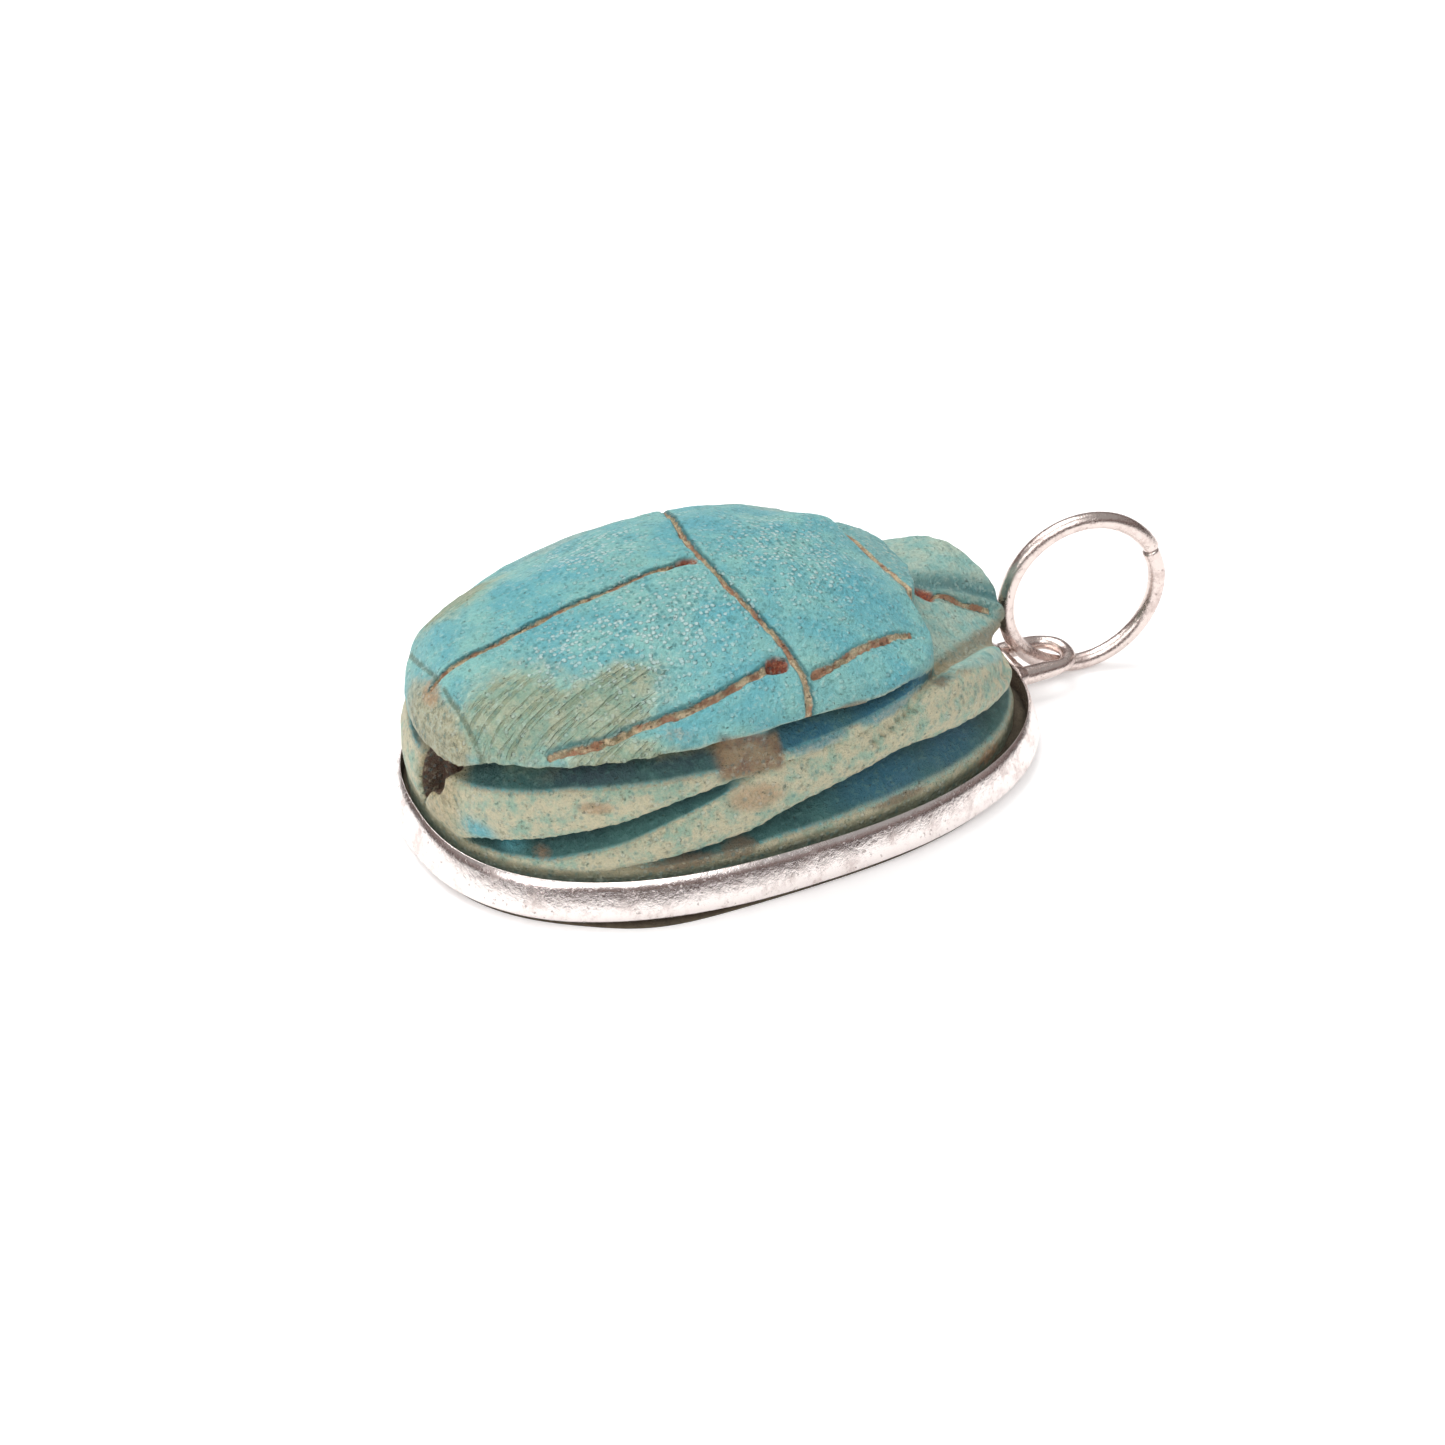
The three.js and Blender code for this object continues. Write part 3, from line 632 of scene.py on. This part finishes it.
def patch(*spots):
    """Soft spots, each a centre in millimetres and its radii along, across and up."""
    mask = np.zeros(len(leaning))
    for centre, radii in spots:
        away = (((leaning - np.array(centre)) / np.array(radii)) ** 2).sum(axis=1)
        mask = np.maximum(mask, np.exp(-away ** 1.5))
    return mask


PAINT = {
    # how far a place is from the nearest line, in half widths, and on which side of it painted shade falls
    "line_away": np.where(on_back > 0.4, base["line_away"], 4),
    "line_shade_side": base["line_shade_side"],
    "tail_line": np.where(on_back > 0.4, np.clip(base["tail_lines"], 0, 1), 1),
    "pit": np.maximum(smooth(0.05, 0.5, base["pits"]) * on_back,
                      smooth(0.62, 0.4, from_head_pit) * (z > 5.8)),
    # the grooves between the legs: how deep, and the shaded part under the lip
    "recess": recess * in_flank,
    "overhung": overhung * in_flank,
    "foot": smooth(PLATE_TOP + 0.75, PLATE_TOP - 0.1, z),
    "leg": in_flank * (1 - smooth(0.05, 0.4, recess)),
    "head": ahead,
    "lobe": ahead * (z > 8.3),
    # painted shade on the steep near face of the fan's far half, beyond its middle line
    "scoop_shade": np.exp(-((y - fan_line(x) - 0.75) / 0.6) ** 2) * smooth(9.3, 10.0, x) * (z < 8),
    # brown dirt in the crease between the fan and the near front leg, darkened as painted shade
    "valley": np.exp(-(past_valley(x, y) / 0.55) ** 2) * ahead * (y < 0) * smooth(0.7, 0.3, height - z),
    # blue glaze pooled in the front grooves
    "pooled": patch(((3.2, -9.0, 7.6), (2.2, 1.4, 0.8)), ((-0.2, -9.0, 7.2), (1.9, 1.3, 0.8)),
                    ((4.6, -8.4, 7.9), (1.6, 1.4, 0.6)), ((3.6, -8.4, 3.6), (2.8, 2.0, 0.9)),
                    ((7.4, -7.3, 3.6), (2.4, 2.0, 0.8)), ((2.2, 8.4, 7.6), (2.6, 1.4, 0.8)),
                    ((4.6, 7.4, 3.8), (3.2, 1.5, 0.9))),
    # smoky blue in the hind groove, and teal below it
    "smoky": patch(((-9.2, -6.9, 7.1), (2.4, 2.4, 0.7)), ((-5.9, -8.4, 7.6), (2.2, 2.0, 0.7)),
                   ((-8.2, 6.2, 7.2), (3.4, 2.0, 0.6))),
    "bluer": patch(((-6.4, 2.3, 10.6), (2.0, 1.5, 2.0)), ((-2.6, -6.2, 10.3), (2.4, 2.2, 2.0)),
                   ((4.4, -4.0, 10.0), (2.2, 2.4, 1.6)), ((8.0, -0.5, 9.0), (1.0, 2.2, 1.0)),
                   ((10.4, -5.8, 6.0), (1.4, 1.2, 0.8)), ((0.6, 3.0, 10.9), (1.5, 1.5, 1.2))),
    "cyan": patch(((-13.1, -4.4, 3.7), (0.8, 0.9, 0.55)), ((-12.0, -4.9, 3.1), (0.6, 0.8, 0.3))),
    # painted sheen: a grey rim along the far upper edge of the wing case and shield, standing in for the
    # bright room's reflection
    "far_edge_sheen": patch(((-9.0, 4.6, 8.2), (3.6, 1.6, 1.3)), ((-4.0, 6.6, 9.2), (4.0, 1.5, 1.0)),
                    ((1.5, 7.2, 9.4), (4.0, 1.3, 1.0)), ((5.5, 5.0, 9.6), (2.2, 1.6, 0.8))),
    # worn, olive and stained places, and the tail gap, brown and darkened by painted shade
    "worn": patch(((-11.0, -4.4, 8.5), (3.4, 2.8, 2.0)), ((-8.4, -6.0, 9.0), (3.8, 2.0, 1.4)),
                  ((-7.0, -5.6, 9.7), (2.0, 1.2, 0.9)), ((-8.0, -8.0, 8.0), (5.0, 1.2, 0.7)),
                  ((-10.0, 4.6, 8.4), (2.6, 2.2, 1.6))),
    "tail": patch(((-13.6, -1.4, 6.8), (0.9, 3.4, 1.8)), ((-13.4, -1.6, 4.4), (1.2, 2.2, 2.2))),
    # dark brown inside the tail gap, strongest deepest in: partly dirt and partly painted shade
    "hollow": smooth(0.1, 0.45, inward) * (x < -11.5) * (z < 6.3) * (z > PLATE_TOP),
    "stain": patch(((-9.4, -7.9, 5.8), (0.9, 1.0, 0.35)), ((-2.9, -9.3, 5.3), (1.6, 1.0, 0.8)),
                   ((9.5, -7.1, 2.2), (1.1, 1.0, 0.5)), ((-13.2, -0.4, 8.0), (1.0, 1.1, 0.6)),
                   ((-5.6, -8.0, 8.6), (1.2, 0.9, 0.3)), ((-10.8, -5.9, 3.0), (0.8, 1.0, 0.4)),
                   ((7.0, 7.0, 6.2), (1.0, 1.0, 0.5)), ((-6.0, 8.3, 5.6), (1.2, 1.0, 0.5))),
    "umber": patch(((-3.6, -9.1, 2.7), (1.0, 1.0, 0.5)), ((1.4, -9.0, 8.3), (1.0, 0.9, 0.35)),
                   ((6.4, -8.0, 7.6), (0.7, 0.8, 0.4)),
                   ((-6.4, -9.0, 2.6), (2.4, 0.9, 0.4)), ((4.2, -8.9, 2.7), (2.0, 0.8, 0.25))),
    # brown block left standing between the hind and the middle knee, cut off straight in front
    "knee": smooth(-4.75, -4.25, leaning[:, 0]) * smooth(-1.55, -1.75, leaning[:, 0]) * (leaning[:, 1] < 0)
    * smooth(6.1, 6.5, z) * smooth(8.75, 8.35, z + 0.33 * (leaning[:, 0] + 4.4)),
    # crystalline grain, thickest on the tops of wing cases and shield
    "grain": patch(((-4.5, -3.5, 10.6), (4.6, 3.4, 2.0)), ((2.6, -1.2, 11.0), (3.0, 4.2, 1.6)),
                   ((-4.5, 3.5, 10.6), (2.6, 2.6, 2.0)), ((-8.0, -2.8, 9.9), (2.6, 1.8, 1.2))) * on_back,
}


def glazed_composition():
    """Thin worn glaze over a pale gritty body: turquoise, blue where it pooled, beige where it wore."""
    glaze = Finish("glazed_composition")
    broad = glaze.noise(0.16, 3.0)
    cloudy = glaze.noise(0.55, 4.0)
    patchy = glaze.noise(1.3, 5.0, 0.62)
    gritty = glaze.noise(3.6, 5.0, 0.7)
    fine = glaze.noise(9.0, 3.0, 0.7)
    ragged = (patchy - 0.5) * 1.1 + (gritty - 0.5) * 0.9

    colour = glaze.mix(glaze.between(cloudy, 0.35, 0.68), tint(104, 182, 192), tint(142, 202, 196))
    colour = glaze.mix(glaze.between(broad, 0.45, 0.7) * 0.5, colour, tint(152, 198, 184))
    bluer = glaze.painted("bluer") * glaze.between(patchy, 0.25, 0.7)
    colour = glaze.mix(bluer * 0.55, colour, tint(88, 178, 198))
    # painted sheen: grey along the far upper edges, in place of the room's reflection
    far_edge_sheen = glaze.between(glaze.painted("far_edge_sheen") + ragged * 0.5, 0.3, 0.9)
    colour = glaze.mix(far_edge_sheen * 0.6, colour, tint(168, 188, 178))

    # worn legs: beige green, mottled with turquoise
    leg = glaze.painted("leg")
    leg_colour = glaze.mix(glaze.between(patchy, 0.42, 0.66), tint(220, 208, 172), tint(164, 194, 170))
    leg_colour = glaze.mix(glaze.between(gritty, 0.5, 0.72) * 0.5, leg_colour, tint(212, 200, 170))
    leg_colour = glaze.mix(glaze.between(gritty, 0.46, 0.3) * 0.35, leg_colour, tint(124, 144, 124))
    colour = glaze.mix(leg * 0.9, colour, leg_colour)
    head_colour = glaze.mix(glaze.between(patchy, 0.35, 0.65), tint(148, 194, 184), tint(200, 212, 190))
    colour = glaze.mix(glaze.painted("head") * (1 - leg) * 0.8, colour, head_colour)
    lobe_colour = glaze.mix(glaze.between(gritty, 0.56, 0.66), tint(118, 182, 184), tint(196, 194, 168))
    colour = glaze.mix(glaze.painted("lobe") * 0.85, colour, lobe_colour)
    # painted shade: dark teal on the near face of the fan's far half
    colour = glaze.mix(glaze.painted("scoop_shade") * 0.85, colour, tint(66, 120, 124))

    # grooves between the legs: teal, blue where the glaze pooled, smoky in patches, and painted shade under
    # the lip
    recess = glaze.painted("recess")
    overhung = glaze.painted("overhung")
    depth = glaze.between(recess + ragged * 0.3, 0.2, 0.75)
    groove_colour = glaze.mix(glaze.between(cloudy, 0.35, 0.65), tint(42, 82, 82), tint(66, 112, 108))
    pooled = glaze.painted("pooled")
    smoky = glaze.painted("smoky") * glaze.between(patchy, 0.2, 0.5)
    groove_colour = glaze.mix(pooled * (0.5 + patchy * 0.6), groove_colour, tint(36, 104, 136))
    groove_colour = glaze.mix(smoky, groove_colour, tint(60, 76, 88))
    groove_colour = glaze.mix(glaze.between(gritty, 0.5, 0.66) * 0.5, groove_colour, tint(98, 142, 136))
    colour = glaze.mix(depth * 0.95, colour, groove_colour)
    brink = glaze.between(recess, 0.02, 0.14) * (1 - depth) * glaze.between(gritty, 0.4, 0.56)
    colour = glaze.mix(brink * 0.6, colour, tint(178, 152, 112))
    # painted shade: darker grey-green under each groove's overhanging lip
    colour = glaze.mix(overhung * 0.35, colour, tint(46, 52, 50))
    spilt = glaze.between(pooled + ragged * 0.5, 0.45, 0.9) * (1 - depth)
    colour = glaze.mix(spilt * 0.7, colour, tint(66, 140, 160))
    colour = glaze.mix(glaze.painted("cyan"), colour, tint(112, 190, 200))

    # wear: olive and beige with fine parallel tool marks, brown stains, and brown dirt with painted shade in
    # the tail gap and in the valley by the head
    marks = glaze.noise(1.0, 1.0, 0.4, glaze.stretched((0, 0, math.radians(11)), (0.2, 6.4, 0.8)))
    mark_lines = glaze.between(marks, 0.52, 0.62)
    worn_share = glaze.between(glaze.painted("worn") + ragged * 0.5, 0.1, 0.9)
    worn_colour = glaze.mix(glaze.between(patchy, 0.4, 0.6), tint(152, 172, 142), tint(184, 184, 150))
    colour = glaze.mix(worn_share * 0.85, colour, worn_colour)
    marked = glaze.between(worn_share, 0.5, 0.9) * mark_lines
    colour = glaze.mix(marked * 0.45, colour, tint(118, 124, 90))
    tail_share = glaze.between(glaze.painted("tail") + ragged * 0.45, 0.2, 0.75)
    colour = glaze.mix(tail_share * 0.75, colour, tint(198, 178, 136))
    colour = glaze.mix(tail_share * glaze.between(gritty, 0.55, 0.4) * 0.5, colour, tint(110, 100, 70))
    foot = glaze.between(glaze.painted("foot") + ragged * 0.35, 0.25, 0.95)
    colour = glaze.mix(foot * 0.8, colour, tint(124, 112, 80))
    # painted shade with brown dirt inside the tail gap, deepest furthest in
    hollow = glaze.between(glaze.painted("hollow") + ragged * 0.15, 0.08, 0.35)
    colour = glaze.mix(hollow, colour, tint(104, 76, 60))
    stain_share = glaze.between(glaze.painted("stain") + ragged * 0.8, 0.35, 0.95)
    colour = glaze.mix(stain_share * 0.65, colour, tint(186, 142, 104))
    umber_share = glaze.between(glaze.painted("umber") + ragged * 0.6, 0.35, 0.9)
    colour = glaze.mix(umber_share * 0.75, colour, tint(132, 108, 84))
    # the valley's crease by the head: brown dirt, darkened as painted shade
    valley = glaze.between(glaze.painted("valley") + ragged * 0.5, 0.25, 0.85)
    colour = glaze.mix(valley * 0.75, colour, tint(150, 128, 98))
    knee_colour = glaze.mix(glaze.between(patchy, 0.35, 0.6), tint(122, 84, 62), tint(160, 132, 98))
    colour = glaze.mix(glaze.painted("knee") * 0.92, colour, knee_colour)

    # carved lines: thin beige floors with rust in them, painted shade on the wall of one side, rust-filled
    # pits
    away = glaze.painted("line_away")
    rough_away = away + (gritty - 0.5) * 0.9
    floor_share = glaze.between(rough_away, 1.0, 0.6)
    shaded_side = glaze.between(glaze.painted("line_shade_side"), 0.1, 1.0)
    shaded_wall = glaze.between(rough_away, 0.3, 0.8) * glaze.between(away, 2.0, 1.1)
    # painted shade on the wall of one side of each line
    colour = glaze.mix(shaded_wall * shaded_side * 0.8, colour, tint(40, 100, 104))
    dirt = glaze.mix(glaze.between(gritty, 0.42, 0.6), tint(222, 198, 160), tint(168, 146, 112))
    dirt = glaze.mix(glaze.between(patchy, 0.44, 0.58) * 0.8, dirt, tint(168, 100, 66))
    colour = glaze.mix(floor_share * 0.95, colour, dirt)
    tail_line = glaze.between(glaze.painted("tail_line") + (gritty - 0.5) * 0.2, 0.12, 0.03)
    colour = glaze.mix(tail_line * 0.65, colour, tint(92, 98, 66))
    pit_colour = glaze.mix(glaze.between(gritty, 0.4, 0.6), tint(140, 60, 40), tint(188, 108, 74))
    colour = glaze.mix(glaze.painted("pit"), colour, pit_colour)

    # crystalline grain: light and dark cells, crowded on the tops of wing cases and shield
    cells = {"Vector": glaze.mm, "Scale": 4.6}
    ragged_cell = glaze.node("ShaderNodeTexVoronoi", {}, cells, "Distance") + (fine - 0.5) * 0.5
    inward = glaze.between(ragged_cell, 0.6, 0.3)
    kind = glaze.node("ShaderNodeTexVoronoi", {}, cells, "Color")
    lot = glaze.node("ShaderNodeSeparateColor", {}, {"Color": kind}, "Red")
    grain = glaze.painted("grain")
    clear = (1 - depth) * (1 - floor_share)
    light_grit = glaze.mix(leg, tint(196, 220, 208), tint(226, 216, 184))
    dark_grit = glaze.mix(leg, tint(80, 126, 118), tint(128, 116, 84))
    light_cells = glaze.between(lot + grain * 0.4, 0.72, 1.0) * inward * clear
    dark_cells = glaze.between(lot - grain * 0.12, 0.24, 0.08) * inward * clear
    colour = glaze.mix(light_cells * (0.2 + grain * 0.6), colour, tint(212, 236, 234))
    colour = glaze.mix(dark_cells * (0.35 + grain * 0.3), colour, tint(60, 126, 132))
    colour = glaze.mix(glaze.between(gritty, 0.52, 0.68) * clear * 0.42, colour, light_grit)
    colour = glaze.mix(glaze.between(gritty, 0.46, 0.34) * clear * 0.42, colour, dark_grit)
    pinhole = glaze.between(glaze.noise(5.2, 2.0, 0.5), 0.67, 0.74)
    colour = glaze.mix(pinhole * 0.5, colour, tint(78, 92, 78))
    colour = glaze.mix(glaze.between(fine, 0.35, 0.7) * 0.2, colour, tint(88, 132, 128))

    relief = glaze.bump(cloudy + patchy * 0.7, 0.14)
    relief = glaze.bump(gritty * 1.2 + fine * 0.5 + light_cells * 0.5 - pinhole * 0.7, 0.2, relief)
    relief = glaze.bump(0 - marked, 0.06, relief)
    relief = glaze.bump(glaze.between(away, 0.2, 1.2), 0.07, relief)
    glaze.set(Base_Color=colour, Normal=relief, Specular_IOR_Level=0.4)
    glaze.set(Roughness=0.55 + (fine - 0.5) * 0.3 - light_cells * 0.2 + worn_share * 0.12)
    return glaze


faience = glazed_composition()
faces = quads.tolist()
faces.append(underside)
scarab = new_piece("carved_scarab", leaning, faces, faience)
for name, mask in PAINT.items():
    layer = scarab.data.attributes.new(name, "FLOAT", "POINT")
    layer.data.foreach_set("value", np.asarray(mask, np.float32))
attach(scarab, "root")
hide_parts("scarab")


# Setting: half-round silver strip bent into an oval round the scarab's base, flat inside, its edges
# burnished in, with small dents along its crown and patchy tarnish. Its silver is a lighter, glossier copy of
# the eye's and ring's, as painted light, so that it reflects brighter.
BAND_HEIGHT = 2.0
BAND_BULGE = 0.6
BAND_LIP = 0.11
LIP_ROUNDING = 0.09
BAND_CREST = 0.5
BAND_LONG = LONG + 0.38
BAND_WIDE = WIDE + 0.12
BASE_PROUD = 0.15
BAND_AROUND = 420
BAND_BULGE_STEPS = 22


def oval(angle, long, wide):
    across = np.sign(np.sin(angle)) * np.abs(np.sin(angle)) ** (2 / OVAL_POWER)
    along = np.sign(np.cos(angle)) * np.abs(np.cos(angle)) ** (2 / OVAL_POWER)
    return np.array([long * along, wide * across * (1 - HEAD_TAPER * along)])


def swept(sections, closed=True):
    """Points and faces of equal closed sections joined one to the next."""
    count = len(sections)
    sides = len(sections[0])
    faces = []
    for i in range(count if closed else count - 1):
        following = (i + 1) % count
        for j in range(sides):
            after = (j + 1) % sides
            faces.append((i * sides + j, following * sides + j, following * sides + after, i * sides + after))
    if not closed:
        faces.append(tuple(range(sides)))
        faces.append(tuple(range((count - 1) * sides, count * sides))[::-1])
    return np.concatenate(sections), faces


def aged_silver(name, clean, dull, dullness):
    """Old silver: warm white metal with a soft pinkish tarnish, dark specks and fine wear."""
    silver = Finish(name)
    cloudy = silver.noise(0.7, 4.0, 0.6)
    speckled = silver.noise(4.5, 4.0, 0.7)
    fine = silver.noise(14.0, 3.0, 0.7)
    tarnish = silver.between(cloudy + (speckled - 0.5) * 0.5, 0.45, 0.75)
    colour = silver.mix(tarnish * 0.6, clean, dull)
    specks = silver.between(silver.noise(3.6, 3.0, 0.65), 0.62, 0.7)
    colour = silver.mix(specks * 0.45, colour, tint(128, 110, 104))
    relief = silver.bump(cloudy, 0.04)
    relief = silver.bump(speckled + fine * 0.4 - specks * 0.5, 0.014, relief)
    silver.set(Base_Color=colour, Metallic=1.0, Normal=relief)
    silver.set(Roughness=dullness + tarnish * 0.14 + specks * 0.2 + (fine - 0.5) * 0.12)
    return silver


# painted light: the band's silver is a lighter copy of the old silver, so that it reflects brighter
brightened_silver = aged_silver("brightened_silver", tint(238, 229, 226), tint(190, 172, 167), 0.17)
silver = aged_silver("aged_silver", tint(222, 208, 202), tint(172, 150, 144), 0.24)
sections = []
for step in range(BAND_AROUND):
    angle = 2 * math.pi * step / BAND_AROUND
    here = oval(angle, BAND_LONG, BAND_WIDE)
    run = oval(angle + 1e-3, BAND_LONG, BAND_WIDE) - oval(angle - 1e-3, BAND_LONG, BAND_WIDE)
    outward = np.array([run[1], -run[0]]) / np.hypot(*run)
    dent = 1 - 0.05 * max(0, math.sin(5 * angle) * math.sin(11 * angle + 1))
    section = [(here[0], here[1], BASE_PROUD + BAND_HEIGHT), (here[0], here[1], BASE_PROUD)]
    for bulge_step in range(BAND_BULGE_STEPS + 1):
        up = BAND_HEIGHT / 2 * (1 - math.cos(math.pi * bulge_step / BAND_BULGE_STEPS))
        from_crest = (up - BAND_CREST) / (BAND_HEIGHT - BAND_CREST if up > BAND_CREST else BAND_CREST)
        out = (BAND_BULGE - (BAND_BULGE - BAND_LIP) * abs(from_crest) ** 1.5) * dent
        out -= LIP_ROUNDING * max(0, (up - 0.86 * BAND_HEIGHT) / (0.14 * BAND_HEIGHT)) ** 2
        section.append((here[0] + outward[0] * out, here[1] + outward[1] * out, BASE_PROUD + up))
    sections.append(np.array(section))
band = new_piece("silver_band", *swept(sections), brightened_silver)
band.data.set_sharp_from_angle(angle=math.radians(50))
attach(band, "root")
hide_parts("silver_setting")


# Painted shade: a dark, uneven fill in the gap between the scarab's foot and its band, where shade would
# fall. On the near side towards the tail it spreads out under the band as a painted contact shadow, where its
# dark edge shows.
GAP_SHADE_TOP = 1.15
GAP_SHADE_RISE = 0.5
GAP_SHADE_OVERLAP = 0.15
CONTACT_SHADOW_SPREAD = 0.5


def make_shade_fill_finish():
    # painted shade: a dark brown-grey, mottled finish for the fill in the band's gap
    gap_shade_finish = Finish("painted_gap_shade")
    grain = gap_shade_finish.noise(2.4, 5.0, 0.7)
    gap_shade_finish.set(Base_Color=gap_shade_finish.mix(grain, tint(50, 44, 38), tint(118, 106, 86)), Roughness=0.95)
    gap_shade_finish.set(Normal=gap_shade_finish.bump(grain, 0.2))
    return gap_shade_finish


sections = []
for step in range(BAND_AROUND):
    angle = 2 * math.pi * step / BAND_AROUND
    outer = oval(angle, BAND_LONG - 0.01, BAND_WIDE - 0.01)
    inner = oval(angle, LONG - GAP_SHADE_OVERLAP, WIDE - GAP_SHADE_OVERLAP) - np.array([SEAT_SHIFT, 0])
    # the fill spreads out under the band on the near side towards the tail, as a painted contact shadow
    spread = 0.1 + (CONTACT_SHADOW_SPREAD - 0.1) * math.exp(-((angle - 1.36 * math.pi) / 0.22) ** 2)
    foot = outer * (1 + spread / np.hypot(*outer))
    uneven_top = GAP_SHADE_TOP + 0.1 * math.sin(23 * angle) * math.sin(7 * angle + 2)
    sections.append(np.array([(*foot, 0.0), (*foot, 0.12), (*outer, 0.14), (*outer, uneven_top),
                              (*inner, uneven_top + GAP_SHADE_RISE), (*inner, 0.0)]))
gap_shade_piece = new_piece("gap_shade_fill", *swept(sections), make_shade_fill_finish())
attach(gap_shade_piece, "root")


# Eye: a hairpin of silver wire laid flat, its two ends flooded with solder where they meet the band.
# The solder has run along both legs and stands in uneven lumps.
EYE_WIRE = 0.65
EYE_WIDTH = 2.95
EYE_REACH = 3.45
EYE_HEIGHT = BASE_PROUD + BAND_HEIGHT / 2 + 0.13
EYE_ROOT = BAND_LONG + 0.55
EYE_TIP = EYE_ROOT + EYE_REACH
WIRE_SIDES = 20


def wire(path, radii, closed=False, flat_normal=(0, 0, 1)):
    """A round wire along points that lie in one plane, with a radius at each."""
    path = np.asarray(path, float)
    normal = np.array(flat_normal, float)
    sections = []
    for index, point in enumerate(path):
        before = path[index - 1] if closed or index > 0 else point
        after = path[(index + 1) % len(path)] if closed or index < len(path) - 1 else point
        heading = (after - before) / np.linalg.norm(after - before)
        sideways = np.cross(heading, normal)
        turns = 2 * math.pi * np.arange(WIRE_SIDES) / WIRE_SIDES
        ring = np.outer(np.cos(turns), sideways) + np.outer(np.sin(turns), normal)
        sections.append(point + radii[index] * ring)
    return swept(sections, closed)


bend = (EYE_WIDTH - EYE_WIRE) / 2
bend_centre = EYE_TIP - EYE_WIRE / 2 - bend
path = [(along, -bend, EYE_HEIGHT) for along in np.linspace(EYE_ROOT, bend_centre, 16, endpoint=False)]
for angle in np.linspace(-math.pi / 2, math.pi / 2, 33):
    path.append((bend_centre + bend * math.cos(angle), bend * math.sin(angle), EYE_HEIGHT))
path += [(along, bend, EYE_HEIGHT) for along in np.linspace(bend_centre, EYE_ROOT, 17)[1:]]
radii = []
for index, (along, across, _) in enumerate(path):
    lumpy = 1.04 + 0.26 * smooth(bend_centre + 0.3, bend_centre - 0.9, along) + 0.04 * math.sin(0.55 * index)
    radii.append(EYE_WIRE / 2 * lumpy)
eye = new_piece("eye_wire", *wire(path, radii), silver)
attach(eye, "root")
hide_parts("soldered_eye")

for name, side in (("solder_near", -1), ("solder_far", 1)):
    lump = []
    for share in np.linspace(0, 1, 15):
        along = EYE_ROOT - 0.32 + 1.25 * share
        flare = 0.36 * (1 - share) ** 2.2
        size = EYE_WIRE / 2 * 1.02 + flare + 0.025 * math.sin(9 * share + side)
        lump.append((along, side * bend, size))
    spine = [(along, across, EYE_HEIGHT) for along, across, _ in lump]
    flooded, faces = wire(spine, [size for *_, size in lump])
    solder = new_piece(name, flooded, faces, silver)
    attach(solder, "root")


web = [(EYE_ROOT + 0.2, across, EYE_HEIGHT) for across in np.linspace(-bend, bend, 13)]
web_sizes = [0.3 + 0.02 * math.sin(2.3 * i) for i in range(13)]
solder = new_piece("solder_web", *wire(web, web_sizes), silver)
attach(solder, "root")


# Jump ring: round silver wire bent to a circle, its ends butted and left with a small step. It stands
# in the eye, turned a little from the amulet's length.
RING_WIRE = 0.8
RING_RADIUS = 3.8
RING_TURN = math.radians(-8.4)
RING_FLOOR_GAP = 0.02
RING_STEPS = 220
RING_JOINT = math.radians(28)
JOINT_GAP = 0.05
JOINT_STEP = 0.07

ring_height = RING_RADIUS + RING_WIRE / 2 + RING_FLOOR_GAP
drop = ring_height - EYE_HEIGHT
hang = RING_RADIUS - (RING_WIRE + EYE_WIRE) / 2 - 0.06
ring_middle = EYE_TIP - EYE_WIRE / 2 + math.sqrt(hang ** 2 - drop ** 2)
ring_path = []
ring_radii = []
half_gap = JOINT_GAP / 2 / RING_RADIUS
for step in range(RING_STEPS + 1):
    share = step / RING_STEPS
    angle = RING_JOINT + half_gap + (2 * math.pi - 2 * half_gap) * share
    off = JOINT_STEP * (smooth(0.94, 1.0, share) - 0.5 * smooth(0.06, 0.0, share))
    radius = RING_RADIUS - off
    along = radius * math.cos(angle)
    ring_path.append((ring_middle + along * math.cos(RING_TURN), along * math.sin(RING_TURN),
                      ring_height + radius * math.sin(angle)))
    rounded = min(share, 1 - share) * RING_STEPS
    ring_radii.append(RING_WIRE / 2 * (0.9 if rounded < 0.5 else 1.0 - 0.012 * abs(math.sin(3 * angle))))
across_ring = (-math.sin(RING_TURN), math.cos(RING_TURN), 0)
ring = new_piece("ring_wire", *wire(ring_path, ring_radii, flat_normal=across_ring), silver)
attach(ring, "root")
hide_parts("jump_ring")
